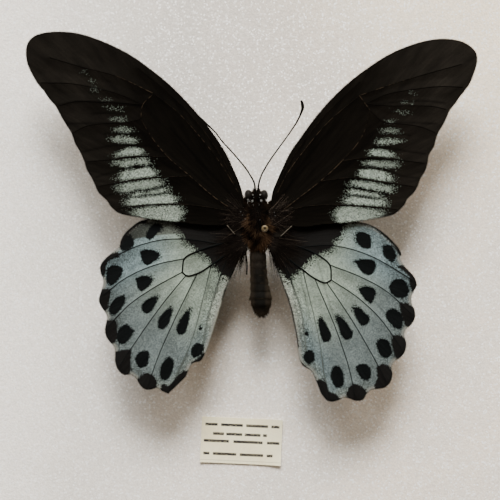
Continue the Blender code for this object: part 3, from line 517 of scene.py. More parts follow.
VEINS = {
    "left_forewing": {
        "costal": [(-4, 17.5), (-8, 25.3), (-14.7, 34.7), (-22.7, 42.7), (-30, 48.6)],
        "radius": [(-3.2, 15.4), (-6.7, 21.3), (-13.3, 30.1), (-20, 37.3), (-25.6, 41.6)],
        "radial_branch": [(-25.6, 41.6), (-36, 46.4), (-44, 48.5), (-53.3, 51.2)],
        "cell_end": [(-25.6, 41.6), (-28.5, 38.7), (-29.1, 34.9)],
        "media_1": [(-28.5, 38.7), (-34.1, 41.2), (-40.5, 43), (-48, 44.3), (-55.6, 44.5)],
        "media_2": [(-28.5, 38.7), (-34.7, 39.2), (-41.3, 39.5), (-46.7, 39.5), (-51, 38.3)],
        "media_3": [(-29.1, 34.9), (-33.3, 33.9), (-40, 33.6), (-44, 32.8), (-47, 31.2)],
        "cubitus": [(-3.2, 9.9), (-9.3, 13.9), (-16, 19.7), (-21.9, 24.8), (-26.1, 29.9),
         (-29.1, 34.9)],
        "cubitus_1": [(-21.9, 24.8), (-30.7, 24.9), (-37.1, 24.1), (-43.3, 23.5)],
        "cubitus_2": [(-16, 19.7), (-26.7, 19.1), (-31.5, 18.5), (-40.2, 17)],
        "anal": [(-3.2, 9.9), (-13.3, 11.7), (-19.2, 12.2), (-26.7, 12), (-35.4, 11.2)],
    },
    "right_forewing": {
        "costal": [(7.4, 17.2), (10.9, 23.9), (14.8, 29.6), (20, 36), (29.3, 44.9)],
        "radius": [(7, 14.6), (9.9, 20.3), (14.4, 26.5), (20.6, 33.8), (29.1, 41.1)],
        "radial_branch": [(29.1, 41.1), (40, 44.8), (49.3, 47.5), (56.3, 49.4)],
        "cell_end": [(29.1, 41.1), (30.7, 38.9), (32, 37.1)],
        "media_1": [(30.7, 38.9), (36, 41.3), (43.2, 42.7), (50.7, 43.5), (56.6, 43.3)],
        "media_2": [(30.7, 38.9), (37.3, 38.4), (44, 38.4), (49.3, 38.1), (52.1, 37.4)],
        "media_3": [(32, 37.1), (36, 33.9), (40, 33.6), (45.3, 32.8), (49.2, 31.3)],
        "cubitus": [(7.3, 9.4), (13.3, 14.1), (18.7, 18.3), (24.5, 23.7), (29.9, 30.4),
         (32, 37.1)],
        "cubitus_1": [(24.5, 23.7), (32, 24.7), (36.8, 24.3), (46.4, 23.1)],
        "cubitus_2": [(18.7, 18.3), (28, 19.2), (33.3, 18.4), (43.5, 16.9)],
        "anal": [(7.3, 9.4), (13.3, 11.3), (25.3, 11.9), (32, 11.5), (39.2, 10.8)],
    },
    "left_hindwing": {
        "cell_front": [(-3.6, 2.7), (-8, 1.6), (-14.1, -0.4), (-17.5, -2.3), (-18.1, -5.9)],
        "cell_rear": [(-18.1, -5.9), (-17.1, -6.8), (-14.1, -6.3), (-10.4, -4.1),
         (-5.4, -0.4)],
        "radius": [(-8, 1.6), (-17.3, 2.9), (-22.7, 2.8), (-29.3, 1.3), (-38.4, -2.9)],
        "media_1": [(-17.5, -2.3), (-25.3, -4), (-33.3, -7.6), (-39.1, -12)],
        "media_2": [(-18.1, -5.9), (-26.7, -10.7), (-32, -14.4), (-37.8, -20.4)],
        "media_3": [(-17.1, -6.8), (-22.7, -13.6), (-32, -26.7), (-34.6, -30.6)],
        "cubitus_1": [(-14.1, -6.3), (-20.8, -20), (-24, -27.2), (-27.2, -36)],
        "cubitus_2": [(-10.4, -4.1), (-12, -10.7), (-16, -25.3), (-20.9, -36.4)],
        "anal": [(-5.4, -0.4), (-7.9, -7), (-11.7, -20), (-12.9, -27)],
    },
    "right_hindwing": {
        "cell_front": [(7.6, 2.4), (13.3, 0.8), (18.1, -1.3), (21.3, -4), (21.7, -8)],
        "cell_rear": [(21.7, -8), (20.5, -8.7), (17.3, -7.6), (14.1, -5.3), (8.6, -1)],
        "radius": [(13.3, 0.8), (22.1, 1.2), (26.7, 0.3), (33.3, -2.1), (37.3, -4.3),
         (43.2, -8)],
        "media_1": [(21.3, -4), (29.3, -7.1), (36, -10.7), (42.9, -16.9)],
        "media_2": [(21.7, -8), (28.5, -12.5), (34.1, -17.6), (40.3, -26)],
        "media_3": [(20.5, -8.7), (27.2, -18.7), (34.1, -30.7), (36.2, -34.7)],
        "cubitus_1": [(17.3, -7.6), (24, -24), (26.7, -32.5), (28, -38.9)],
        "cubitus_2": [(14.1, -5.3), (18.7, -25.3), (20, -34.1), (21.2, -39.2)],
        "anal": [(8.6, -1), (10.9, -8), (13.6, -16), (14.9, -26), (15.2, -29.7)],
    },
}

# Fold lines of each wing, along which the scales carry painted shade
FOLDS = {
    "left_forewing": [
        [(-38.6, 31), (-34.6, 31.1), (-29.8, 30.9)],
        [(-44.5, 26.1), (-41.3, 26.9), (-37.5, 27.7), (-32.5, 28), (-27.4, 27.7)],
        [(-41, 19.4), (-39.1, 20), (-36.7, 20.6), (-33.3, 21.7), (-30.6, 22.2), (-26.6, 22.5),
         (-24.5, 22.4)],
        [(-39.1, 14.1), (-36.7, 14.8), (-33.6, 15.2), (-30.6, 15.8), (-26.6, 16.2),
         (-22.4, 16.8)],
        [(-33.3, 13.8), (-29.3, 14.2), (-22.1, 15)],
        [(-49.3, 33.6), (-45.3, 33.7), (-40.5, 33.8), (-35.7, 33.8)],
        [(-51.1, 38.6), (-46.6, 39.4), (-41.3, 39.4), (-34.6, 39.1), (-28.8, 38.3)],
        [(-42.1, 36.3), (-38.3, 36.5), (-34.1, 36.2)],
        [(-14.4, 24), (-9.3, 19.2), (-4.8, 14.4)],
        [(-21.3, 32.5), (-16, 26.6), (-9.6, 19.7)],
    ],
    "right_forewing": [
        [(30.1, 22.4), (32, 22), (34.6, 21.6), (37.3, 21), (39.4, 20.1), (46.1, 18.9)],
        [(25.3, 16.6), (28.8, 16.4), (32, 15.7), (35.1, 15.2), (36.5, 14.6)],
        [(25.3, 14.6), (28, 14.5), (32, 14.1), (35.9, 13.3)],
        [(32.8, 27.6), (35.9, 27.4), (39.9, 26.6), (46.6, 25.6)],
        [(34.6, 30.9), (37.8, 31), (42.6, 30.6)],
        [(36.7, 33.8), (41.3, 33.9), (49.5, 33.6)],
        [(33.6, 38.6), (38.9, 39.4), (46.3, 39.7), (51.9, 39.1)],
        [(16.5, 24), (12.2, 19.2), (8, 13.8)],
        [(21.3, 32), (16.5, 26.1), (10.7, 19.2)],
    ],
    "left_hindwing": [
        [(-9.9, -4.5), (-10.7, -8), (-11.5, -11.2), (-12, -13.4)],
        [(-7.7, -8), (-9.1, -11.2), (-10.2, -14.7), (-11.2, -18.7)],
        [(-29.7, -10.7), (-33.4, -13.4)],
        [(-27.8, -2.9), (-31, -4.3), (-34.2, -5.6)],
        [(-12.3, 4), (-18.7, 3.2)],
        [(-13.9, -5.6), (-16.6, -12.3), (-19.8, -21.4)],
    ],
    "right_hindwing": [
        [(33.1, -13.6), (36.3, -17.1)],
        [(13.4, -3.2), (13.6, -8), (15, -13.4), (15.8, -18.2)],
        [(11, -6.7), (11.8, -12), (12.8, -18.2), (13.6, -24)],
        [(13.4, 6.3), (17.4, 6.3), (21.4, 5.9)],
        [(34.2, -3.2), (37.9, -4.3)],
        [(18.2, -3.2), (19.8, -9.4), (22.4, -18.2)],
        [(13.4, 1.9), (21.4, 1.1)],
    ],
}

MARKS = {
    "left_forewing": {
        "faint_1": [(-45.0, 48.0), (-43.5, 48.2), (-43.2, 47.3), (-44.7, 46.9)],
        "faint_7": [(-43.1, 45.7), (-41.2, 45.3), (-40.8, 44.5), (-42.7, 44.6)],
        "faint_8": [(-42.8, 43.4), (-39.9, 43.2), (-40.1, 42.2), (-42.4, 42.2)],
        "faint_2": [(-41.2, 40.7), (-38.8, 40.8), (-36.5, 40.2), (-36.7, 39.4), (-40.4, 39.5)],
        "faint_3": [(-40.2, 38.3), (-36.7, 38.5), (-33.3, 37.9), (-33.5, 37.1), (-37.8, 37.1)],
        "speck_4": [(-38, 35.3), (-35.7, 35.7), (-32.7, 35.3), (-32.7, 34.3), (-35.9, 34.1),
         (-37.8, 34.3)],
        "lens_5": [(-38, 31.8), (-36.7, 32.7), (-34.6, 33.2), (-31.9, 32.8), (-29.9, 31.8),
         (-31.7, 31.1), (-36.7, 31.3)],
        "lens_6": [(-38.8, 29.9), (-36.7, 30.4), (-33.3, 30.6), (-30.6, 30), (-28.9, 29.3),
         (-29.8, 28.5), (-31.9, 28.1), (-35.1, 28.3), (-37.5, 28.8)],
        "lens_7": [(-37.5, 25.1), (-36.2, 25.9), (-34.6, 26.7), (-33, 27.5), (-30.9, 27.6),
         (-28.7, 27.1), (-27.7, 26.1), (-27.5, 25), (-30.6, 24.9), (-34.6, 24.5), (-37, 24.3)],
        "lens_8": [(-38.8, 23.1), (-36.7, 23.9), (-34.1, 24.2), (-30.6, 24.5), (-26.6, 24.5),
         (-25.4, 23.4), (-26.4, 22.6), (-30.6, 22.4), (-33.3, 21.7), (-35.4, 22.2)],
        "lens_9": [(-36.7, 18.4), (-35.4, 20.5), (-33.3, 21.4), (-30.6, 21.8), (-26.6, 22.1),
         (-24.6, 21.3), (-23.7, 20.2), (-24.8, 19.5), (-27.4, 19.2), (-30.6, 18.8),
         (-34.1, 18.2)],
        "lens_10": [(-37, 16.6), (-34.6, 17.7), (-30.6, 18.4), (-26.6, 18.9), (-23.7, 19.1),
         (-21.8, 18.6), (-22.1, 17.3), (-24.5, 16.8), (-26.6, 16.2), (-30.6, 15.7),
         (-33.5, 14.9), (-35.7, 15.3)],
        "lens_11": [(-34.1, 14.5), (-30.6, 15.4), (-26.6, 15.8), (-24, 16.5), (-21.3, 16.8),
         (-20.8, 15.4), (-24, 14.9), (-27.9, 14.6), (-31.9, 14)],
        "lens_12": [(-34.9, 12.5), (-33.5, 13.7), (-29.3, 14.2), (-24, 14.6), (-20.8, 14.8),
         (-18.4, 13.4), (-19.7, 12.4), (-24, 12.2), (-27.4, 11.9), (-30.6, 11.7),
         (-33.5, 11.2)],
        "lens_13": [(-33.5, 10.5), (-30.6, 11.1), (-26.6, 11.6), (-21.8, 11.9), (-18.1, 11.8),
         (-16.8, 10.1), (-18.1, 8), (-24, 8), (-29.3, 8.6), (-32.5, 9.2)],
    },
    "right_forewing": {
        "faint_1": [(41.8, 42.3), (43.4, 42.4), (45, 42), (44.4, 41.2), (42.6, 41.4)],
        "faint_2": [(39.6, 39.6), (41.8, 40), (43.9, 39.5), (43.4, 38.6), (40.4, 38.7)],
        "faint_3": [(37.5, 37.3), (40.2, 37.5), (43.1, 37.1), (42.6, 36.3), (38.6, 36.5)],
        "speck_4": [(35.4, 34.3), (37.3, 35), (39.6, 34.6), (39.1, 33.7), (36.2, 33.5)],
        "lens_5": [(33.8, 31.8), (35.9, 32.6), (39.1, 32.6), (41.2, 31.9), (40.4, 30.9),
         (37.3, 30.7), (34.6, 31)],
        "lens_6": [(32.5, 28.7), (34.1, 29.7), (37.3, 30), (39.9, 29.8), (42, 29.3),
         (40.4, 28.4), (37.3, 27.9), (34.1, 27.9)],
        "lens_7": [(30.6, 25.2), (31.7, 26.6), (34.6, 27.1), (37.3, 26.7), (38.9, 25.9),
         (40.2, 24.6), (37.3, 24.3), (34.1, 24.6), (31.7, 24.8)],
        "lens_8": [(29, 22.9), (30.9, 23.8), (34.1, 24), (37.3, 23.8), (41, 23.3),
         (40.7, 22.1), (38.3, 21.6), (34.6, 21.8), (31.9, 22.1), (29.8, 22.4)],
        "lens_9": [(28.1, 20.5), (29, 21.4), (30.9, 21.7), (33.5, 21.6), (36.2, 21),
         (38.1, 20), (39.5, 18.6), (39.1, 17.7), (36.7, 18.1), (33.3, 18.6), (29.8, 19.2),
         (28.2, 19.4)],
        "lens_10": [(25.3, 17.6), (26.4, 18.4), (28.2, 18.6), (30.9, 18.4), (34.1, 17.9),
         (37.3, 17.4), (40.2, 17), (39.4, 16), (38.1, 15.1), (35.1, 15.5), (31.9, 16),
         (28.8, 16.7), (26.1, 16.8)],
        "lens_11": [(24.8, 15.4), (26.6, 16.3), (29.3, 16), (32.5, 15.4), (35.9, 14.8),
         (36.5, 13.8), (34.1, 13.7), (29.8, 14.4), (26.1, 14.7)],
        "lens_12": [(24.2, 13), (25.6, 14.3), (29.3, 14.1), (33.3, 13.6), (36.2, 14),
         (37.5, 12.8), (37.7, 11), (34.6, 11.4), (31.4, 11.8), (27.2, 12.1), (24.8, 12.1)],
        "lens_13": [(21.6, 9.9), (22.9, 11.3), (26.1, 11.7), (29.8, 11.4), (34.1, 10.8),
         (36.7, 10.4), (37.5, 9.6), (35.1, 8.5), (31.4, 7.9), (26.6, 7.4), (22.9, 7.5)],
    },
    "left_hindwing": {
        "spot_1": [(-26.2, 6.7), (-24.9, 7.1), (-23.6, 6.7), (-23.3, 5.9), (-24, 5),
         (-25.2, 4), (-26.1, 3.1), (-27.2, 2.8), (-27.8, 3.3), (-27.6, 4.4), (-27, 5.7)],
        "spot_2": [(-29.4, -0.3), (-27.8, 0.1), (-25.9, 0), (-23.9, -1.2), (-24.4, -2.3),
         (-25.9, -3.3), (-27.5, -4.1), (-28.6, -3.3), (-29.1, -1.9)],
        "spot_3": [(-30.6, -7.7), (-29.4, -7.1), (-27.8, -6.8), (-26.7, -7.1), (-25.9, -7.3),
         (-26.4, -9.1), (-27.8, -10.3), (-29.1, -11.1), (-29.9, -10.3), (-30.3, -8.8)],
        "spot_4": [(-29, -15), (-28.4, -14), (-27.2, -13.1), (-25.9, -12.5), (-24.4, -12.1),
         (-24.8, -13.6), (-25.6, -15.2), (-26.7, -16.6), (-27.8, -17), (-28.6, -16.4)],
        "spot_5": [(-24.6, -20), (-24.6, -19), (-23.8, -17.6), (-22.4, -16), (-20.8, -15.1),
         (-20.8, -16.8), (-21.4, -18.7), (-22.4, -20.6), (-23.5, -21.2), (-24.4, -21)],
        "spot_6": [(-19.6, -20.8), (-18.7, -18.8), (-17.4, -16.7), (-15.9, -15.5),
         (-16.1, -17.6), (-16.6, -20), (-17.5, -22.2), (-18.6, -22.6), (-19.5, -21.9)],
        "spot_7": [(-13.6, -20.6), (-13.1, -20.2), (-12.7, -20.8), (-13.1, -21.5),
         (-13.6, -21.4)],
        "outer_1": [(-34.7, 0.3), (-34.7, 2.1), (-33.6, 3.5), (-32, 3.9), (-31.1, 2.7),
         (-31.2, 1.1), (-32.6, -0.1)],
        "outer_2": [(-38.4, -6.9), (-37.9, -4.6), (-36.6, -4.1), (-35, -4.2), (-34, -5.1),
         (-34.2, -6.5), (-35, -7.8), (-36, -8.9), (-37.2, -9.5), (-38.2, -8.6)],
        "outer_3": [(-37.3, -14.4), (-36, -13), (-34.7, -12.2), (-33.6, -12.1), (-33.3, -13.3),
         (-34, -15), (-35, -16.4), (-36, -17.3), (-37.1, -17.3), (-37.7, -16)],
        "outer_4": [(-35.8, -23.5), (-35.2, -21.4), (-33.9, -20.1), (-32.8, -19.8),
         (-32, -20.7), (-31, -21.5), (-31.7, -23), (-32.7, -24.4), (-33.9, -25.2),
         (-35.2, -24.9)],
        "outer_5": [(-30.6, -28.8), (-29.9, -27.7), (-28.6, -26.9), (-27, -27.5), (-27, -29.2),
         (-27.9, -31.1), (-29.4, -31.6), (-30.4, -30.5)],
        "outer_6": [(-24, -32.3), (-23, -29.6), (-21.6, -28.5), (-20.4, -29.7), (-20.6, -31.9),
         (-21.4, -34), (-22.7, -34.9), (-23.9, -34.3)],
        "outer_7": [(-15.8, -27.3), (-15.2, -25.6), (-13.9, -24.8), (-12.4, -25.4),
         (-12.6, -27.3), (-13.9, -28.6), (-15.2, -28.7)],
        "lobe_1": [(-34.8, -0.7), (-37.4, -1.1), (-39.2, -2.7), (-40.4, -4.8), (-39.2, -7.5),
         (-38.6, -6.3), (-38, -3.6), (-36.8, -2.4), (-35, -1.9)],
        "lobe_2": [(-38.7, -10.3), (-37.4, -10.5), (-37.7, -14.1), (-38.1, -15.8),
         (-38.7, -16.8), (-40.3, -15.7), (-41.1, -13.3), (-40, -10.9)],
        "lobe_3": [(-38.4, -18.8), (-35.7, -19), (-35.4, -21.4), (-36.5, -25), (-37.6, -25.1),
         (-39.2, -23.2), (-39.5, -20.6)],
        "lobe_4": [(-36, -27.1), (-34.2, -26.7), (-32, -26.6), (-31.8, -29.9), (-32.1, -33),
         (-33.6, -33.9), (-36.3, -32.3), (-36.8, -29.4)],
        "lobe_5": [(-30.2, -34.6), (-29.4, -33.8), (-28.3, -33), (-26.1, -33.2),
         (-24.8, -35.8), (-25.4, -37.3), (-27.2, -38.2), (-29.9, -36.8)],
        "lobe_6": [(-23.9, -36.6), (-23.5, -35.7), (-21.9, -36.1), (-20.6, -34.9),
         (-17.6, -32.2), (-16.3, -32.1), (-18.7, -36.9), (-21.9, -39.3), (-24, -37.7)],
        "front_border": [(-27.4, 8.8), (-27.4, 7.4), (-29.4, 6.7), (-31.5, 5.2), (-33, 3.2),
         (-34, 0.7), (-35.5, 0.5), (-35, 3.2), (-32.6, 6.4), (-29.9, 8.3)],
        "rear_edge": [(-16, -30.3), (-14.2, -29.1), (-12.3, -27.5), (-11.8, -28.1),
         (-12.8, -29.9), (-15, -31)],
        "base": [(-20.7, 9.1), (-20.7, 7.5), (-19.7, 5.7), (-18.5, 4.2), (-17.7, 2.8),
         (-16.4, 1.4), (-15.1, 0.5), (-14.2, -0.7), (-12.2, -1.7), (-11.1, -2.8), (-10.2, -3.9),
         (-8.8, -5.5), (-7.5, -6.9), (-6.1, -8), (-5.5, -9.9), (-4.5, -9.4), (-1.1, -3.2),
         (-1.1, 9.1), (-10.7, 10.7)],
    },
    "right_hindwing": {
        "spot_1": [(28, 3.2), (28.6, 4.7), (30.4, 4.8), (32, 4), (32.4, 2.1), (32, 0.4),
         (30.4, 0.4), (28.8, 1.6)],
        "spot_2": [(27.9, -2.9), (29.6, -2.5), (31.2, -2.5), (33.2, -2.9), (33.7, -4),
         (32.9, -6), (31.8, -6.8), (30.4, -6.2), (29, -4.8)],
        "spot_3": [(28.8, -10.1), (30.4, -9.7), (32, -9.8), (33.6, -10.9), (33.2, -12.8),
         (32.3, -14.3), (31.2, -13.7), (30, -12.3)],
        "spot_4": [(27.4, -15.2), (28.8, -15.1), (30.4, -16.5), (32, -18.2), (31.3, -19.8),
         (29.9, -20.2), (28.8, -19), (27.9, -17.1)],
        "spot_5": [(23.1, -17.4), (24.6, -18), (25.7, -19.2), (26.5, -20.6), (27.5, -22.2),
         (26.8, -23.7), (25.5, -24), (24.5, -23), (23.7, -20.8)],
        "spot_6": [(18.2, -18.7), (19, -17.6), (19.9, -19), (20.9, -20.8), (21.7, -23),
         (21.2, -24.4), (19.5, -24.4), (18.9, -23), (18.4, -20.8)],
        "spot_7": [(14.7, -21.9), (15.1, -21.5), (15.6, -22.2), (15.5, -23.1), (14.9, -23)],
        "outer_1": [(35.6, 1.1), (37.9, 1.1), (38.8, -0.4), (39.1, -2.1), (38.1, -3.3),
         (36.6, -2.5), (35.5, -0.8)],
        "outer_2": [(37.8, -8.4), (39.2, -7.7), (40.8, -7.9), (42.3, -9.6), (42.5, -11.2),
         (41.7, -12.6), (40.3, -12.9), (38.7, -12.4), (37.3, -10.9)],
        "outer_3": [(36.4, -16.6), (37.9, -15.7), (39.5, -16.2), (40.7, -17.6), (40.9, -19.2),
         (40.3, -21.2), (39, -21), (37.4, -19.6), (36.4, -17.9)],
        "outer_4": [(33.8, -24.7), (35, -23.6), (36.7, -24.2), (37.7, -25.9), (38, -27.5),
         (36.8, -28.9), (35.2, -28.5), (34.1, -26.7)],
        "outer_5": [(28.4, -31.2), (29.9, -30.4), (31.6, -30.9), (32.3, -32.6), (32.1, -34.3),
         (30.7, -34.9), (29.3, -33.7)],
        "outer_6": [(21.6, -32.6), (22.4, -31.2), (23.7, -31), (24.7, -32.3), (25.1, -34.2),
         (24.7, -36.4), (23, -36.9), (22.1, -35.3)],
        "outer_7": [(14.2, -28.3), (15, -27), (16.3, -26.7), (17.2, -27.8), (17, -29.7),
         (16, -30.6), (14.7, -29.9)],
        "lobe_1": [(39, -4.4), (40.6, -5.4), (42.3, -7.2), (42.8, -10.1), (43.5, -11.5),
         (45.1, -9.6), (43.2, -5.9), (41.1, -4.1)],
        "lobe_2": [(40, -14.1), (42.4, -14.4), (44, -15.7), (44.7, -17.9), (42.4, -21),
         (41, -19.2), (40.2, -16.6)],
        "lobe_3": [(38.4, -22.7), (40, -22.6), (41.6, -24), (42.4, -26.2), (39.4, -29.6),
         (38.2, -27.2)],
        "lobe_4": [(33.9, -31.2), (35.8, -30.4), (37.2, -31.1), (38.4, -33.1), (36, -37.6),
         (33.9, -37.8), (33.2, -36.6), (34, -34.2)],
        "lobe_5": [(25.6, -39), (26.6, -36.6), (27.8, -35.7), (29.4, -36.2), (31.4, -38.1),
         (30.7, -40.3), (28.3, -41.1), (26.2, -40.1)],
        "lobe_6": [(17.4, -35.1), (19, -34.4), (20.3, -35.5), (20.9, -37.4), (23.4, -38.7),
         (24.3, -39.9), (21.4, -41.3), (19, -39.8)],
        "front_border": [(27.2, 8.9), (27.2, 7.5), (29.9, 7), (32.6, 5.9), (35, 4.3),
         (37.1, 2.3), (38.8, 0.3), (40.2, -1.7), (41.1, -1.9), (40, 1.3), (36.8, 5.3),
         (32.6, 8)],
        "rear_edge": [(12.8, -29.4), (13.9, -30.1), (15.8, -31.8), (17.4, -33.9), (18, -35.3),
         (16.8, -35.3), (14.4, -32.1), (12.6, -30.2)],
        "base": [(25.5, 9.1), (25.4, 7.2), (25, 4.8), (24, 3), (22.6, 2), (22.4, 0.6),
         (19, -1.2), (16.2, -2.6), (14.8, -4.4), (13.6, -5.6), (11.2, -7.4), (9.8, -8.6),
         (8.4, -6.6), (4.8, -3.2), (4.8, 8.6), (13.4, 10.7)],
    },
}

# Shapes --------------------------------------------------------------------------------------

def smooth(low, high, value):
    """Goes gently from 0 at low to 1 at high."""
    share = np.clip((value - low) / (high - low), 0.0, 1.0)
    return share * share * (3.0 - 2.0 * share)


def heading_at(before, here, after):
    """Direction of a smooth curve at a knot, leaning to its nearer neighbour."""
    back, on = np.linalg.norm(here - before), np.linalg.norm(after - here)
    return ((here - before) / back * on + (after - here) / on * back) / (back + on)


def through(knots, step, closed=False, corners=()):
    """Points about one step apart on a smooth curve through the knots, broken at corners."""
    knots = [np.array(knot, float) for knot in knots]
    count = len(knots)
    points = []
    for first in range(count if closed else count - 1):
        second = (first + 1) % count
        a, b = knots[first], knots[second]
        length = np.linalg.norm(b - a)
        leave = arrive = (b - a) / length
        if first not in corners and (closed or first > 0):
            leave = heading_at(knots[first - 1], a, b)
        if second not in corners and (closed or second < count - 1):
            arrive = heading_at(a, b, knots[(second + 1) % count])
        pieces = max(1, math.ceil(length / step))
        for t in (k / pieces for k in range(pieces)):
            points.append((2 * t**3 - 3 * t**2 + 1) * a + (t**3 - 2 * t**2 + t) * length * leave
                          + (3 * t**2 - 2 * t**3) * b + (t**3 - t**2) * length * arrive)
    if not closed:
        points.append(knots[-1])
    return np.array(points)


def chain_distance(points, chain):
    """Distance from each point to the nearest place on a chain."""
    best = np.full(len(points), np.inf)
    for a, b in zip(chain[:-1], chain[1:]):
        span = b - a
        share = np.clip((points - a) @ span / max(span @ span, TINY), 0.0, 1.0)
        best = np.minimum(best, np.linalg.norm(points - a - share[:, None] * span, axis=1))
    return best


def depth_inside(points, loop, reach):
    """Distance inside a closed loop for each point, negative outside, no lower than -reach."""
    depth = np.full(len(points), -reach)
    near = np.all((points > loop.min(0) - reach) & (points < loop.max(0) + reach), axis=1)
    some = points[near]
    within = np.zeros(len(some), bool)
    for a, b in zip(loop, np.roll(loop, -1, axis=0)):
        if a[1] == b[1]:
            continue
        level = (a[1] > some[:, 1]) != (b[1] > some[:, 1])
        within ^= level & (some[:, 0] < a[0] + (some[:, 1] - a[1]) * (b[0] - a[0]) / (b[1] - a[1]))
    rim = np.minimum(chain_distance(some, closed_chain(loop)), reach)
    depth[near] = np.where(within, rim, -rim)
    return depth


def distance_to_any(points, chains):
    """Distance from each point to the nearest of several chains."""
    return np.min([chain_distance(points, chain) for chain in chains], axis=0)


def nearest(points, place):
    """Which of the points lies nearest to a place."""
    return int(np.argmin(np.linalg.norm(points - place, axis=1)))


def closed_chain(loop):
    return np.vstack([loop, loop[:1]])


def walked_along(points):
    """How far along a chain of points each one lies."""
    return np.concatenate([[0.0], np.cumsum(np.linalg.norm(np.diff(points, axis=0), axis=1))])


def merged_copy(node):
    """The mesh of a CAD node in millimetres, with its loose triangles joined."""
    shape = bmesh.new()
    shape.from_mesh(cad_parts[node].data)
    bmesh.ops.scale(shape, vec=(1 / MM,) * 3, verts=shape.verts)
    bmesh.ops.remove_doubles(shape, verts=shape.verts, dist=MERGE_GAP)
    return shape


def positions(shape):
    return np.array([vert.co for vert in shape.verts])


def thicken(shape, rise):
    """Turns an open sheet into a closed one, by a copy moved up by rise."""
    sheet = bmesh.ops.extrude_face_region(shape, geom=shape.faces[:], use_keep_orig=True)
    moved = [part for part in sheet["geom"] if isinstance(part, bmesh.types.BMVert)]
    bmesh.ops.translate(shape, vec=(0, 0, rise), verts=moved)
    bmesh.ops.recalc_face_normals(shape, faces=shape.faces)


def add_piece(name, shape, nodes, materials, fields=None, hard=False):
    """Makes a finished piece from a bmesh in millimetres, with vector fields on its points."""
    bmesh.ops.scale(shape, vec=(MM,) * 3, verts=shape.verts)
    mesh = bpy.data.meshes.new(name)
    for face in shape.faces:
        face.smooth = not hard
    shape.to_mesh(mesh)
    shape.free()
    for label, values in (fields or {}).items():
        layer = mesh.attributes.new(label, "FLOAT_VECTOR", "POINT")
        layer.data.foreach_set("vector", np.asarray(values, np.float32).ravel())
    for material in materials:
        mesh.materials.append(material)
    piece = bpy.data.objects.new(name, mesh)
    bpy.context.scene.collection.objects.link(piece)
    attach(piece, "root")
    if nodes:
        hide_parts(*nodes)


def strand_mesh(strands, sides):
    """Turns strands, lists of x, y, z and radius in millimetres, into open tapering tubes."""
    curve = bpy.data.curves.new("strands", "CURVE")
    curve.dimensions = "3D"
    curve.fill_mode = "FULL"
    curve.bevel_depth = 1.0
    curve.bevel_resolution = (sides - 4) // 2
    for strand in strands:
        spline = curve.splines.new("POLY")
        spline.points.add(len(strand) - 1)
        places = np.ones((len(strand), 4))
        places[:, :3] = np.asarray(strand)[:, :3]
        spline.points.foreach_set("co", places.ravel())
        spline.points.foreach_set("radius", [float(point[3]) for point in strand])
    holder = bpy.data.objects.new("strands", curve)
    bpy.context.scene.collection.objects.link(holder)
    built = holder.evaluated_get(bpy.context.evaluated_depsgraph_get())
    mesh = bpy.data.meshes.new_from_object(built)
    bpy.data.objects.remove(holder)
    bpy.data.curves.remove(curve)
    return mesh


def add_strands(shape, strands, sides=STRAND_SIDES, material=0):
    """Joins strands to a bmesh as closed tubes, on one of its material slots."""
    mesh = strand_mesh(strands, sides)
    before = len(shape.faces)
    shape.from_mesh(mesh)
    ends = [edge for edge in shape.edges if edge.is_boundary]
    bmesh.ops.holes_fill(shape, edges=ends, sides=sides)
    shape.faces.ensure_lookup_table()
    for face in shape.faces[before:]:
        face.material_index = material
    bpy.data.meshes.remove(mesh)


def coat_piece(name, coat, material):
    """A piece of hairs whose points carry the tone, the share along the hair and the shade."""
    shape = bmesh.new()
    add_strands(shape, coat.strands)
    field = [(tone, k / (len(strand) - 1), shade)
             for strand, (tone, shade) in zip(coat.strands, coat.tones)
             for k in range(len(strand)) for _ in range(STRAND_SIDES)]
    add_piece(name, shape, [], [material], {"strand": field})


# Materials -----------------------------------------------------------------------------------

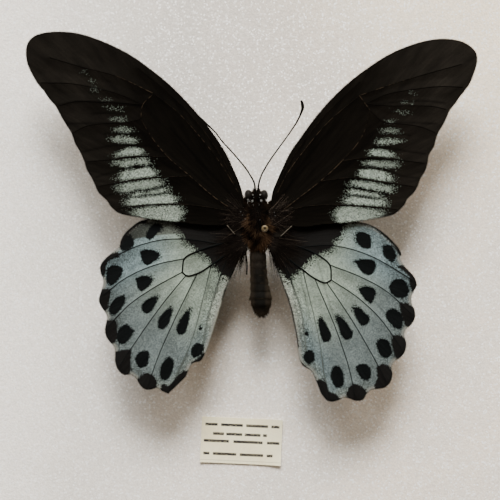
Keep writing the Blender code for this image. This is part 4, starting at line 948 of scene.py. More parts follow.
class Nodes:
    """Adds nodes to one tree and links what they are given."""

    def __init__(self, tree):
        self.tree = tree

    def feed(self, socket, value):
        if isinstance(value, bpy.types.NodeSocket):
            self.tree.links.new(value, socket)
        elif socket.type == "RGBA":
            socket.default_value = (*tuple(value)[:3], 1.0)
        else:
            socket.default_value = value

    def add(self, kind, given=None, out=0, **settings):
        node = self.tree.nodes.new(kind)
        for key, value in settings.items():
            setattr(node, key, value)
        for key, value in (given or {}).items():
            self.feed(node.inputs[key], value)
        return node.outputs[out]

    def math(self, operation, *values):
        return self.add("ShaderNodeMath", dict(enumerate(values)), operation=operation)

    def times(self, first, *others):
        for other in others:
            first = self.math("MULTIPLY", first, other)
        return first

    def scaled(self, value, factor, plus):
        return self.math("MULTIPLY_ADD", value, factor, plus)

    def ramp(self, value, low, high, start=0.0, end=1.0):
        given = {"Value": value, "From Min": low, "From Max": high, "To Min": start, "To Max": end}
        return self.add("ShaderNodeMapRange", given, interpolation_type="SMOOTHSTEP")

    def mix(self, share, first, second, blend="MIX"):
        return self.add("ShaderNodeMix", {0: share, 6: first, 7: second}, out=2,
                        data_type="RGBA", blend_type=blend)

    def shade(self, colour, amount):
        """A colour made darker or lighter by a value round 1."""
        grey = self.add("ShaderNodeCombineColor", {0: amount, 1: amount, 2: amount})
        return self.mix(1.0, colour, grey, blend="MULTIPLY")

    def parts(self, vector):
        return self.add("ShaderNodeSeparateXYZ", {0: vector}).node.outputs

    def own(self, name):
        """A piece's own vector field."""
        return self.add("ShaderNodeAttribute", out="Vector", attribute_name=name)

    def field(self, name):
        return self.parts(self.own(name))

    def place(self):
        return self.add("ShaderNodeTexCoord", out="Object")

    def group(self, name, given, out=0):
        return self.add("ShaderNodeGroup", given, out=out, node_tree=bpy.data.node_groups[name])

    def noise(self, vector, size, detail=2.0):
        """Noise from 0 to 1 whose forms measure about size, in the vector's own unit."""
        return self.add("ShaderNodeTexNoise", {"Vector": vector, "Scale": 1.0 / size,
                                               "Detail": detail, "Roughness": 0.5})

    def cells(self, scale, out="Color"):
        """Irregular cells, as many to a metre as scale says."""
        return self.add("ShaderNodeTexVoronoi", {"Vector": self.place(), "Scale": scale}, out=out)

    def cells_of(self, size):
        """The random values of irregular cells that measure about size, in metres."""
        return self.cells(self.math("DIVIDE", 1.0, size))

    def round_one(self, value, contrast):
        """A value from 0 to 1 as a shade round 1."""
        return self.scaled(self.math("SUBTRACT", value, 0.5), contrast, 1.0)

    def grain(self, size, contrast):
        """Shade round 1 from even grain, its size in millimetres."""
        return self.group("fine grain", {"Grain Size": size * MM, "Contrast": contrast})

    def relief(self, size):
        """Height of even grain, its size in millimetres."""
        return self.group("fine grain", {"Grain Size": size * MM}, out="Height")

    def tones(self, size, contrast):
        """Shade round 1 from single scales or beads, their size in millimetres."""
        return self.group("scale tones", {"Scale Size": size * MM, "Contrast": contrast})

    def streaks(self, rays, width, contrast):
        return self.group("lengthwise streaks", {"Rays": rays, "Width": width,
                                                 "Contrast": contrast})

    def finish(self, shader, colour, height, depth, strength):
        """Feeds a shader its colour and its relief, whose depth is in millimetres."""
        self.feed(shader["Base Color"], colour)
        self.feed(shader["Normal"], self.add("ShaderNodeBump", {
            "Height": height, "Distance": depth * MM, "Strength": strength}))


def new_group(name, inputs, outputs):
    """A shader node group with named inputs, given with their defaults, and value outputs."""
    tree = bpy.data.node_groups.new(name, "ShaderNodeTree")
    for label, value in inputs.items():
        kind = "NodeSocketFloat" if isinstance(value, float) else "NodeSocketVector"
        socket = tree.interface.new_socket(label, in_out="INPUT", socket_type=kind)
        socket.default_value = value
    for label in outputs:
        tree.interface.new_socket(label, in_out="OUTPUT", socket_type="NodeSocketFloat")
    entry, end = tree.nodes.new("NodeGroupInput"), tree.nodes.new("NodeGroupOutput")
    return Nodes(tree), entry.outputs, end.inputs


def make_speckled_mask():
    """Mask of a patch of scales, whose rim is dusted out scale by scale."""
    nodes, given, result = new_group("speckled mask", {
        "Depth": 0.0, "Scatter": 0.3, "Scale Size": 0.00015, "Gaps": 0.0}, ["Mask"])
    chance = nodes.add("ShaderNodeSeparateColor", {
        0: nodes.cells_of(given["Scale Size"])}).node.outputs
    even = nodes.scaled(chance[0], 2.0, -1.0)
    stray = nodes.ramp(chance[1], STRAY_FROM, 1.0, 0.0, STRAY_REACH)
    spread = nodes.times(nodes.math("ADD", even, stray), given["Scatter"])
    wobble = nodes.scaled(nodes.noise(nodes.place(), RIM_WOBBLE_SIZE * MM),
                          RIM_WOBBLE, -0.5 * RIM_WOBBLE)
    depth = nodes.math("ADD", nodes.math("ADD", given["Depth"], spread), wobble)
    inside = nodes.ramp(depth, -RIM_SOFTNESS, RIM_SOFTNESS)
    kept = nodes.math("GREATER_THAN", chance[2], given["Gaps"])
    nodes.feed(result["Mask"], nodes.times(inside, kept))


def make_streaks():
    """Streaks that run out from the root of a wing, round 1."""
    nodes, given, result = new_group("lengthwise streaks", {
        "Rays": (0.0, 0.0, 0.0), "Width": 0.5, "Contrast": 0.3}, ["Shade"])
    parts = nodes.parts(given["Rays"])
    vector = nodes.add("ShaderNodeCombineXYZ", {
        0: nodes.math("DIVIDE", parts[0], given["Width"]),
        1: nodes.math("DIVIDE", parts[1], STREAK_LENGTH)})
    nodes.feed(result["Shade"], nodes.round_one(nodes.noise(vector, 1.0, detail=3.0),
                                                given["Contrast"]))


def make_grain():
    """Even grain: a shade round 1 and a height from 0 to 1."""
    nodes, given, result = new_group("fine grain", {"Grain Size": 0.0003, "Contrast": 0.3},
                                     ["Shade", "Height"])
    value = nodes.add("ShaderNodeTexNoise", {
        "Vector": nodes.place(), "Scale": nodes.math("DIVIDE", 1.0, given["Grain Size"]),
        "Detail": 3.0, "Roughness": GRAIN_ROUGHNESS})
    nodes.feed(result["Shade"], nodes.round_one(value, given["Contrast"]))
    nodes.feed(result["Height"], value)


def make_scale_tones():
    """Single scales that differ in tone, as a shade round 1."""
    nodes, given, result = new_group("scale tones", {"Scale Size": 0.0003, "Contrast": 0.3},
                                     ["Shade"])
    tone = nodes.parts(nodes.cells_of(given["Scale Size"]))[0]
    nodes.feed(result["Shade"], nodes.round_one(tone, given["Contrast"]))


def new_material(name, roughness, specular=None, **constants):
    """A Principled material with its constant values, and the tree to build its colour in."""
    material = bpy.data.materials.new(name)
    material.use_nodes = True
    shader = material.node_tree.nodes["Principled BSDF"]
    shader.inputs["Roughness"].default_value = roughness
    if specular is not None:
        shader.inputs["Specular IOR Level"].default_value = specular
    for label, value in constants.items():
        shader.inputs[label].default_value = value
    return material, Nodes(material.node_tree), shader.inputs


# Wings ---------------------------------------------------------------------------------------

def wing_kind(wing):
    return wing.split("_")[1]


def wing_outline(wing):
    """The rim of the CAD wing's upper face, as a smooth closed chain of points."""
    shape = merged_copy(wing)
    lower = [face for face in shape.faces if face.normal.z < UPWARD]
    bmesh.ops.delete(shape, geom=lower, context="FACES")
    shape.edges.index_update()
    rim = {edge.index: edge for edge in shape.edges if edge.is_boundary}
    loops = []
    while rim:
        edge = rim.pop(min(rim))
        start, here = edge.verts
        loop = [start]
        while here is not start:
            loop.append(here)
            edge = next(edge for edge in here.link_edges if edge.index in rim)
            del rim[edge.index]
            here = edge.other_vert(here)
        loops.append([vert.co.xy.copy() for vert in loop])
    shape.free()
    knots = np.array(max(loops, key=len))
    ahead = np.roll(knots, -1, axis=0)
    if np.sum(knots[:, 0] * ahead[:, 1] - ahead[:, 0] * knots[:, 1]) < 0:
        knots = knots[::-1]
    corners = {nearest(knots, corner) for corner in WING_CORNERS[wing]}
    return through(knots, RIM_STEP, closed=True, corners=corners)


def cut_into_cells(shape, step):
    """Cuts a flat face into square cells, so that it can take a relief."""
    for axis in (0, 1):
        across = Vector((1 - axis, axis, 0))
        places = [vert.co[axis] for vert in shape.verts]
        pending = list(shape.faces)
        for k in range(1, int((max(places) - min(places)) / step) + 1):
            at = min(places) + k * step
            parts = {part for face in pending for part in (*face.verts, *face.edges)}
            cut = bmesh.ops.bisect_plane(shape, geom=[*pending, *parts], dist=TINY,
                                         plane_co=across * at, plane_no=across)
            pending = [part for part in cut["geom"] if isinstance(part, bmesh.types.BMFace)
                       and part.calc_center_median()[axis] > at]


def veins_of(wing):
    return {name: through(knots, VEIN_STEP) for name, knots in VEINS[wing].items()}


def wing_height(wing, points, vein_distance):
    """Height of a wing's upper face: it rises outwards, sags between veins and waves a little."""
    kind = wing_kind(wing)
    height = WING_ROOT_Z[kind] + WING_RISE_OUTWARD * np.abs(points[:, 0] - BODY_X)
    height += VEIN_RIDGE * np.exp(-(vein_distance / VEIN_RIDGE_WIDTH) ** 2)
    height -= PLEAT_DEPTH * smooth(*PLEAT_REACH, vein_distance)
    waves = [noise.noise(Vector((x / WAVE_LENGTH, y / WAVE_LENGTH, WAVE_SEEDS[wing])))
             for x, y in points]
    return height + WAVE_HEIGHT * np.array(waves)


def stretch(rim, start, end):
    """The shorter part of a closed rim between the places nearest to start and end."""
    first, last = sorted(nearest(rim, place) for place in (start, end))
    if last - first > len(rim) / 2:
        return np.vstack([rim[last:], rim[:first + 1]])
    return rim[first:last + 1]


def mark_fields(wing, points, rim):
    """For each point: depth inside the wing's marks, how far their rim scatters, and either the
    share of gaps in a pale patch or the brownness of a dark mark."""
    depth = np.full(len(points), -MARK_REACH)
    scatter = np.full(len(points), RIM_SCATTER)
    extra = np.zeros(len(points))
    for name, knots in MARKS[wing].items():
        kind = name.rsplit("_", 1)[0] if name[-1].isdigit() else name
        loop = through(knots, MARK_STEP, closed=True)
        inside = depth_inside(points, loop, MARK_REACH)
        spread = np.full(len(points), MARK_SCATTER[kind])
        centre = loop.mean(0)
        if wing_kind(wing) == "forewing":
            long_way = np.linalg.svd(loop - centre, full_matrices=False)[2][0]
            half = np.abs((loop - centre) @ long_way).max()
            ends = smooth(*END_SHARE, np.abs((points - centre) @ long_way) / half)
            inside -= PATCH_INSET.get(name, PATCH_INSET_USUAL) + END_INSET * ends
            spread += END_SCATTER * ends
        else:
            inside -= MARK_INSET.get(kind, 0.0)
        if kind == "spot":
            to_root = np.array(WING_ROOTS[wing]) - centre
            to_root /= np.linalg.norm(to_root)
            share = (points - centre) @ to_root / ((loop - centre) @ to_root).max()
            spread += ROOT_SIDE_SCATTER * smooth(*ROOT_SIDE_SHARE, share)
        nearer = inside > depth
        depth = np.where(nearer, inside, depth)
        scatter = np.where(nearer, spread, scatter)
        if wing_kind(wing) == "forewing":
            gaps = PATCH_GAPS.get(name, PATCH_GAPS_USUAL)
            outward = long_way * math.copysign(1.0, long_way[0] * (centre[0] - BODY_X))
            outer = smooth(*OUTER_SHARE, (points - centre) @ outward / half)
            gaps = gaps + (1.0 - gaps) * (END_GAPS * ends**2 + OUTER_GAPS * outer)
            extra = np.where(nearer, gaps, extra)
        else:
            extra = np.where(nearer & (inside > -RIM_SCATTER), float(kind in BROWN_MARKS), extra)
    if wing in INNER_HEMS:
        hem = HEM_WIDTH - chain_distance(points, stretch(rim, *INNER_HEMS[wing]))
        nearer = hem > depth
        depth = np.where(nearer, hem, depth)
        scatter = np.where(nearer, RIM_SCATTER, scatter)
        extra = np.where(nearer & (hem > -RIM_SCATTER), 1.0, extra)
    return np.column_stack([depth, scatter, extra])


def ray_field(wing, points):
    """Distance across and along the rays that run out from the wing's root."""
    away = points - np.array(WING_ROOTS[wing])
    outward = away * (np.sign(WING_ROOTS[wing][0] - BODY_X), 1.0)
    angle = np.arctan2(outward[:, 1], outward[:, 0])
    return np.column_stack([angle * RAY_RADIUS, np.linalg.norm(away, axis=1),
                            np.zeros(len(points))])


def wing_tubes(wing, veins, settings):
    """Tubes for the veins and for a forewing's rear edge, with the tone of each point."""
    kind = wing_kind(wing)
    radius = settings.vein_radius / MM
    tubes, tones = [], []
    root = np.array(WING_ROOTS[wing])
    for name, chain in veins.items():
        height = wing_height(wing, chain, np.zeros(len(chain))) - VEIN_SINK * radius
        away = np.linalg.norm(chain - root, axis=1)
        width = radius * (1.0 + VEIN_ROOT_GROWTH * (1.0 - smooth(0.0, VEIN_TAPER_END, away)))
        if kind == "forewing":
            end = PALE_VEIN_ENDS.get(name, PALE_VEIN_END)
            tone = PALE_VEINS.get(name, PALE_VEIN_USUAL) * (1.0 - smooth(*end, away))
        else:
            width *= CELL_VEIN_WIDTH if name.startswith("cell") else 1.0
            tone = SOFT_VEINS.get(name, 0.0) * smooth(*SOFT_VEIN_FROM, away)
            width *= 1.0 - SOFT_VEIN_THINNER * tone
        tubes.append(np.column_stack([chain, height, width]))
        tones.append(tone)
    if kind == "forewing":
        start, end = (np.array(place) for place in REAR_EDGES[wing])
        chain = np.linspace(start, end, REAR_EDGE_POINTS)
        height = wing_height(wing, chain, np.zeros(len(chain)))
        tubes.append(np.column_stack([chain, height, np.full(len(chain), REAR_EDGE_RADIUS)]))
        tones.append(np.full(len(chain), REAR_EDGE_TONE))
    return tubes, tones


def fringe_strands(wing, rim, settings, chance):
    """Short scales that stand out from the rim, apart from where the wing meets the body."""
    length = settings.fringe_length / MM
    around = closed_chain(rim)
    walked = walked_along(around)
    strands = []
    for at in np.arange(0.0, walked[-1], FRINGE_GAP):
        x, y = (np.interp(at, walked, around[:, axis]) for axis in (0, 1))
        ahead = [np.interp(at + FRINGE_GAP, walked, around[:, axis]) for axis in (0, 1)]
        if abs(x - WING_ROOTS[wing][0]) < FRINGE_ROOT_GAP:
            continue
        out = Vector((ahead[1] - y, x - ahead[0])).normalized()
        sway = chance.uniform(-FRINGE_SWAY, FRINGE_SWAY)
        reach = length * chance.uniform(*FRINGE_LENGTHS)
        place = np.array([[x, y]])
        z = wing_height(wing, place, np.array([MARK_REACH]))[0] - 0.5 * settings.thickness / MM
        tip = Vector((x, y)) + (out + sway * Vector((-out.y, out.x))) * reach
        start = Vector((x, y)) - out * FRINGE_BURIED
        strands.append([(start.x, start.y, z, FRINGE_RADIUS),
                        (tip.x, tip.y, z - FRINGE_DROOP, FRINGE_RADIUS * FRINGE_TIP)])
    return strands


def build_wing(wing, materials, settings):
    """One wing: a thin waved sheet with raised veins, a fringe and its pattern of scales."""
    rim = wing_outline(wing)
    veins = veins_of(wing)
    shape = bmesh.new()
    shape.faces.new([shape.verts.new((x, y, 0.0)) for x, y in rim])
    cut_into_cells(shape, settings.cell / MM)
    bmesh.ops.remove_doubles(shape, verts=shape.verts, dist=SLIVER)
    flat = positions(shape)[:, :2]
    vein_distance = distance_to_any(flat, veins.values())
    for vert, height in zip(shape.verts, wing_height(wing, flat, vein_distance)):
        vert.co.z = height
    bmesh.ops.recalc_face_normals(shape, faces=shape.faces)
    thicken(shape, -settings.thickness / MM)
    sheet_points = len(shape.verts)
    tubes, tones = wing_tubes(wing, veins, settings)
    add_strands(shape, tubes, VEIN_SIDES, material=1)
    chance = random.Random(WING_SEEDS[wing])
    add_strands(shape, fringe_strands(wing, rim, settings, chance))
    points = positions(shape)[:, :2]
    edge = chain_distance(points, closed_chain(rim))
    vein = distance_to_any(points, veins.values())
    # Closeness to the fold lines, which the materials darken as painted shade
    folds = distance_to_any(points, [through(fold, VEIN_STEP) for fold in FOLDS[wing]])
    tone = np.exp(-(folds / FOLD_WIDTH) ** 2)
    tube_tones = np.repeat(np.concatenate(tones), VEIN_SIDES)
    tone[sheet_points:sheet_points + len(tube_tones)] = tube_tones
    fields = {"pattern": mark_fields(wing, points, rim), "rays": ray_field(wing, points),
              "place": np.column_stack([edge, vein, tone])}
    add_piece(wing + "_scaled", shape, [wing], materials, fields)


def wing_scales(nodes, streaks, fine_streaks, grain, gaps=0.0):
    """Shade, relief and speckled mask of a wing's scales, and the rays that they follow."""
    depth, scatter, _ = nodes.field("pattern")
    rays = nodes.own("rays")
    fine = nodes.streaks(rays, *fine_streaks)
    shade = nodes.times(nodes.streaks(rays, *streaks), fine, nodes.grain(*grain))
    relief = nodes.scaled(fine, STREAK_RELIEF, nodes.relief(SCALE_RELIEF))
    mask = nodes.group("speckled mask", {"Depth": nodes.times(depth, MM),
                                         "Scatter": nodes.times(scatter, MM), "Gaps": gaps})
    return shade, relief, mask, rays


def finish_veins(nodes, shader, colour, contrast):
    nodes.finish(shader, nodes.shade(colour, nodes.grain(VEIN_GRAIN, contrast)),
                 nodes.relief(VEIN_RELIEF), *VEIN_BUMP)


def forewing_materials(settings):
    """The black and pale scales of the forewings, and their veins."""
    sheet, nodes, shader = new_material("forewing scales", 0.75, MATT)
    gaps = nodes.field("pattern")[2]
    _, vein, fold = nodes.field("place")
    shade, relief, mask, rays = wing_scales(nodes, BLACK_STREAKS, BLACK_FINE_STREAKS,
                                            BLACK_GRAIN, gaps)
    turn, away, _ = nodes.parts(rays)
    # Painted sheen: the black greys from the body out to the tips
    outward = nodes.scaled(turn, OUTWARD_TURN, nodes.math("ADD", away, OUTWARD_START))
    black = nodes.mix(nodes.ramp(outward, *TIP_SHEEN_FADES), settings.black_inner,
                      settings.black_tip_sheen)
    # Painted sheen: the black is brighter towards the right forewing
    black = nodes.shade(black, nodes.ramp(nodes.parts(nodes.place())[0], *RIGHT_WING_SHEEN))
    # Painted shade along the fold lines, over black and pale scales
    fold_shadow = nodes.scaled(fold, FOREWING_FOLD_SHADOW, 1.0)
    black = nodes.shade(nodes.shade(black, shade), fold_shadow)
    pale_shade = nodes.times(nodes.grain(*BAND_GRAIN), nodes.streaks(rays, *BAND_STREAKS),
                             nodes.ramp(gaps, *GAPPY_SCALES_DIM), nodes.tones(*BAND_TONES))
    pale = nodes.shade(nodes.shade(settings.pale, pale_shade), fold_shadow)
    mask = nodes.times(mask, nodes.ramp(vein, *BLACK_BY_VEIN))
    nodes.finish(shader, nodes.mix(mask, black, pale), relief, *SCALE_BUMP)

    veins, nodes, shader = new_material("forewing veins", 0.6, MATT)
    tone = nodes.field("place")[2]
    # Painted glint lightens the brown veins near the body, in patches
    worn = nodes.ramp(nodes.noise(nodes.place(), VEIN_GLINT_PATCH_SIZE, detail=3.0), *VEIN_GLINT_PATCHES)
    colour = nodes.mix(nodes.times(tone, worn), settings.black_inner, settings.vein_glint)
    colour = nodes.mix(nodes.ramp(tone, REAR_EDGE_FROM, REAR_EDGE_TONE), colour, settings.ridge)
    finish_veins(nodes, shader, colour, FOREWING_VEIN_CONTRAST)
    return [sheet, veins]


def hindwing_materials(settings):
    """The pale blue-green scales with black marks of the hindwings, and their veins."""
    sheet, nodes, shader = new_material("hindwing scales", 0.7, MATT)
    brown = nodes.field("pattern")[2]
    edge, vein, fold = nodes.field("place")
    shade, relief, mask, rays = wing_scales(nodes, PALE_STREAKS, PALE_FINE_STREAKS, PALE_GRAIN)
    turn, away, _ = nodes.parts(rays)
    pale = nodes.mix(nodes.ramp(away, *PALE_FADES), settings.pale_inner, settings.pale_outer)
    bluish = nodes.math("MAXIMUM", nodes.ramp(turn, *BLUE_IN_FRONT),
                        nodes.ramp(turn, *BLUE_BEHIND))
    pale = nodes.mix(nodes.times(bluish, nodes.ramp(away, *BLUE_OUTWARD), BLUE_SHARE), pale,
                     settings.pale_blue)
    pale = nodes.shade(pale, nodes.ramp(nodes.noise(nodes.place(), CLOUD_SIZE), *CLOUD_SHADE))
    strip = nodes.times(nodes.ramp(edge, *RIM_STRIP_EDGE), nodes.ramp(turn, *RIM_STRIP_TURN),
                        nodes.ramp(away, *RIM_STRIP_FADES))
    pale = nodes.mix(strip, pale, settings.pale_rim)
    left = nodes.ramp(nodes.parts(nodes.place())[0], *LEFT_WING)
    # The left hindwing is darker near its root
    worn = nodes.times(left, nodes.ramp(away, *LEFT_WING_DIM))
    pale = nodes.shade(pale, nodes.math("SUBTRACT", 1.0, worn))
    # Painted shadow of the fold near the front rim, on the left hindwing only
    front = nodes.ramp(nodes.scaled(away, FRONT_SHADOW_SLANT, turn), *FRONT_SHADOW_TURN)
    pale = nodes.mix(nodes.times(front, left), pale,
                     nodes.shade(settings.front_fold_shadow, nodes.ramp(away, *FRONT_SHADOW_FADES)))
    pale = nodes.shade(pale, nodes.times(shade, nodes.tones(
        PALE_TONE_SIZE, nodes.ramp(edge, *PALE_TONE_CONTRAST))))
    by_vein = nodes.ramp(vein, VEIN_SHADE_FROM, nodes.ramp(edge, *VEIN_SHADE_REACH),
                         VEIN_SHADE, 1.0)
    # Darker by the veins, and painted shade along the fold lines
    pale = nodes.shade(pale, nodes.times(by_vein, nodes.scaled(fold, HINDWING_FOLD_SHADOW, 1.0)))
    missing = nodes.group("speckled mask", {
        "Depth": MM, "Scatter": 0.0, "Scale Size": MISSING_SCALE * MM,
        "Gaps": nodes.ramp(away, *MISSING_SCALES)})
    covered = nodes.scaled(missing, 1.0 - MISSING_SHADE, MISSING_SHADE)
    pale = nodes.mix(covered, settings.dust, pale)
    dust = nodes.group("speckled mask", {
        "Depth": nodes.ramp(edge, *RIM_DUST), "Scatter": RIM_DUST_SCATTER * MM})
    pale = nodes.mix(nodes.times(dust, RIM_DUST_SHARE), pale, settings.dust)
    pale = nodes.mix(nodes.ramp(edge, *NOTCH_EDGE), pale, settings.notch)
    dark = nodes.mix(brown, settings.mark, settings.lobe)
    dark = nodes.shade(nodes.shade(dark, nodes.streaks(rays, *MARK_STREAKS)),
                       nodes.grain(*MARK_GRAIN))
    nodes.finish(shader, nodes.mix(mask, pale, dark), relief, *SCALE_BUMP)

    veins, nodes, shader = new_material("hindwing veins", 0.6, MATT)
    colour = nodes.mix(nodes.field("place")[2], settings.vein_dark, settings.vein_soft)
    colour = nodes.mix(nodes.ramp(nodes.field("pattern")[0], *VEIN_INTO_MARK), colour,
                       settings.mark)
    finish_veins(nodes, shader, colour, HINDWING_VEIN_CONTRAST)
    return [sheet, veins]


# Body ----------------------------------------------------------------------------------------

def surface_of(*nodes):
    """A search tree of CAD nodes' surfaces, with their triangles in millimetres."""
    shape = bmesh.new()
    for node in nodes:
        part = merged_copy(node)
        bmesh.ops.triangulate(part, faces=part.faces)
        mesh = bpy.data.meshes.new("surface")
        part.to_mesh(mesh)
        part.free()
        shape.from_mesh(mesh)
        bpy.data.meshes.remove(mesh)
    shape.faces.ensure_lookup_table()
    tree = BVHTree.FromBMesh(shape)
    triangles = [([vert.co.copy() for vert in face.verts], face.normal.copy(), face.calc_area())
                 for face in shape.faces]
    shape.free()
    return tree, triangles


def spots_on(triangles, count, chance, wanted):
    """Random places and normals on a surface, where wanted(place) says so."""
    areas = [area for _, _, area in triangles]
    spots = []
    while len(spots) < count:
        (a, b, c), normal, _ = chance.choices(triangles, weights=areas)[0]
        u, v = chance.random(), chance.random()
        if u + v > 1.0:
            u, v = 1.0 - u, 1.0 - v
        place = a + (b - a) * u + (c - a) * v
        if wanted(place):
            spots.append((place, normal))
    return spots


class Coat:
    """Hairs of one piece, each with a tone from dark to light and a shade round 1."""

    def __init__(self, chance):
        self.chance, self.strands, self.tones = chance, [], []

    def grow(self, place, heading, length, radius=HAIR_RADIUS, droop=0.0, points=3, sway=0.2):
        """One tapering hair from a place, which bends down and to the side along its length."""
        side = Vector([self.chance.uniform(-1, 1) for _ in range(3)]) * sway
        strand = []
        for share in np.arange(points) / (points - 1):
            along = place + (heading + side * share) * length * share
            along.z -= droop * share * share
            strand.append((*along, radius * (1.0 - HAIR_TAPER * share)))
        self.strands.append(strand)

    def colour(self, tone, shade):
        """Tone and shade of the last hair, each a value or the two ends of its range."""
        self.tones.append(tuple(self.chance.uniform(*value) if isinstance(value, tuple) else value
                                for value in (tone, shade)))


def lofted_rings(stations, sides, rings, groove):
    """A closed form along Y through stations of y, centre x, centre z, half width and height."""
    stations = np.array(stations)
    if stations[0, 0] > stations[-1, 0]:
        stations = stations[::-1]
    shape = bmesh.new()
    bmesh.ops.create_uvsphere(shape, u_segments=sides, v_segments=rings, radius=1.0)
    first, last = stations[0, 0], stations[-1, 0]
    smooth_stations = through(stations, STATION_STEP)
    for vert in shape.verts:
        share = math.acos(max(-1.0, min(1.0, vert.co.z))) / math.pi
        y = first + share * (last - first)
        x, z, wide, high = (np.interp(y, smooth_stations[:, 0], smooth_stations[:, axis])
                            for axis in (1, 2, 3, 4))
        ring = math.hypot(vert.co.x, vert.co.y)
        ahead = Vector((vert.co.x, vert.co.y)) / ring if ring > TINY else Vector((0, 0))
        closing = min(1.0, math.sqrt(max(0.0, math.sin(math.pi * share)) * END_ROUNDNESS))
        size = closing * groove(y)
        vert.co = (x + ahead.x * wide * size, y, z + ahead.y * high * size)
    bmesh.ops.recalc_face_normals(shape, faces=shape.faces)
    return shape


def ring_groove(y):
    """Size of the abdomen's rings: each laps over the next one towards the tail."""
    share = (ABDOMEN_FRONT - y) / ABDOMEN_RING % 1.0
    swell = smooth(0.0, 0.7, share) - smooth(0.9, 1.0, share)
    return 1.0 + RING_SWELL * swell - RING_SWELL * 0.5


def hair_material(name, dark, light):
    """Hair whose strands differ in tone and pale towards their ends."""
    material, nodes, shader = new_material(name, 0.6, MATT)
    tone, along, shade = nodes.field("strand")
    tip = nodes.ramp(along, *HAIR_SHADE_ALONG)
    nodes.feed(shader["Base Color"], nodes.shade(nodes.mix(tone, dark, light),
                                                 nodes.times(tip, shade)))
    return material


def skin_material(name, colour, roughness, grain_size):
    """The dark skin under the hair, with fine pits."""
    material, nodes, shader = new_material(name, roughness, MATT)
    nodes.finish(shader, nodes.shade(colour, nodes.grain(grain_size, 1.0)),
                 nodes.relief(grain_size), *SKIN_BUMP)
    return material


def abdomen_material(settings):
    """Dark rings with bald pale rims, paler on the flanks, at the tip and along one bald line."""
    material, nodes, shader = new_material("abdomen rings", 0.65, MATT)
    x, y, _ = nodes.parts(nodes.place())
    share = nodes.math("FRACT", nodes.math("DIVIDE", nodes.math(
        "SUBTRACT", ABDOMEN_FRONT * MM, y), ABDOMEN_RING * MM))
    flanks = nodes.math("MAXIMUM", *(nodes.ramp(x, *ends) for ends in ABDOMEN_FLANKS))
    tail = nodes.math("MAXIMUM", nodes.ramp(y, *ABDOMEN_TAIL), nodes.ramp(y, *ABDOMEN_PALE_FRONT))
    colour = nodes.mix(nodes.math("MAXIMUM", flanks, tail), settings.abdomen,
                       settings.abdomen_side)
    band = nodes.times(*(nodes.ramp(share, *ends) for ends in RIM_OF_RING))
    patchy = nodes.ramp(nodes.noise(nodes.place(), BALD_PATCH_SIZE), *BALD_PATCHES)
    colour = nodes.mix(nodes.times(band, patchy), colour, settings.ring_band)
    line = nodes.times(*(nodes.ramp(y, *ends) for ends in BALD_LINE), BALD_LINE_SHARE)
    colour = nodes.mix(line, colour, settings.ring_band)
    nodes.finish(shader, nodes.shade(colour, nodes.grain(*ABDOMEN_GRAIN)),
                 nodes.relief(ABDOMEN_RELIEF), *ABDOMEN_BUMP)
    return material


def dress_node(node, material):
    """Gives a CAD node that stays a finished material."""
    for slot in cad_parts[node].material_slots:
        slot.material = material


def thorax_hair(settings, chance):
    """Hair all over the thorax: red-brown, black on the collar and down the middle."""
    _, triangles = surface_of("thorax")
    coat = Coat(chance)
    for place, normal in spots_on(triangles, settings.thorax_hairs, chance, lambda p: True):
        side = (place.x - BODY_X) / THORAX_HALF
        collar = smooth(*COLLAR_REACH, place.y)
        fringe = smooth(*FRONT_FRINGE[0], place.y) * smooth(*FRONT_FRINGE[1], abs(side))
        middle = math.exp(-(side / BLACK_MIDDLE_WIDTH) ** 2) * smooth(*BLACK_MIDDLE_Y, place.y)
        tuft = noise.noise(place * THORAX_TUFT_SIZE)
        lay = Vector((0.9 * side + 0.25 * tuft + 1.2 * fringe * math.copysign(1.0, side),
                      -0.8 + 1.3 * collar, -0.1))
        heading = (normal * (0.65 + 0.3 * tuft) + lay).normalized()
        length = settings.hair_length / MM * chance.uniform(*THORAX_LENGTHS)
        length *= 1.0 - 0.3 * collar
        flank = smooth(*FLANK[0], place.y) * smooth(*FLANK[1], abs(side))
        rear = smooth(*REAR, place.y)
        dark_front = smooth(*DARK_FRONT[0], place.y)
        dark_front *= 1.0 - 0.85 * smooth(*DARK_FRONT[1], abs(side))
        brown = (1.0 - collar) * (1.0 - dark_front) * (1.0 - 0.8 * middle * (1.0 - 0.5 * rear))
        brown *= 0.5 + 1.5 * tuft + 0.6 * flank + 0.35 * smooth(*BROWN_REAR, place.y)
        heading = (heading + Vector((0.9 * flank * math.copysign(1.0, side),
                                     -1.2 * rear, 0.3 * rear))).normalized()
        length *= 1.0 + 0.5 * flank + 1.6 * rear
        coat.grow(place - normal * HAIR_BURIED, heading, length, droop=0.25 * length, points=4)
        coat.colour(min(1.0, max(0.0, brown + chance.uniform(-0.15, 0.15))), THORAX_SHADES)
    return coat


def head_hair(settings, chance):
    """Short black hair on the head and the palps."""
    _, triangles = surface_of("head", "left_palp", "right_palp")
    coat = Coat(chance)
    for place, normal in spots_on(triangles, settings.head_hairs, chance,
                                  lambda p: abs(p.x - EYES_MIDDLE[0]) < HEAD_HAIR_SIDE):
        heading = (normal + Vector((0, 0.25, 0))).normalized()
        coat.grow(place - normal * HAIR_BURIED, heading,
                  HEAD_HAIR * chance.uniform(*HEAD_LENGTHS), FINE_HAIR_RADIUS)
        coat.colour(HEAD_TONES, HAIR_SHADES)
    return coat


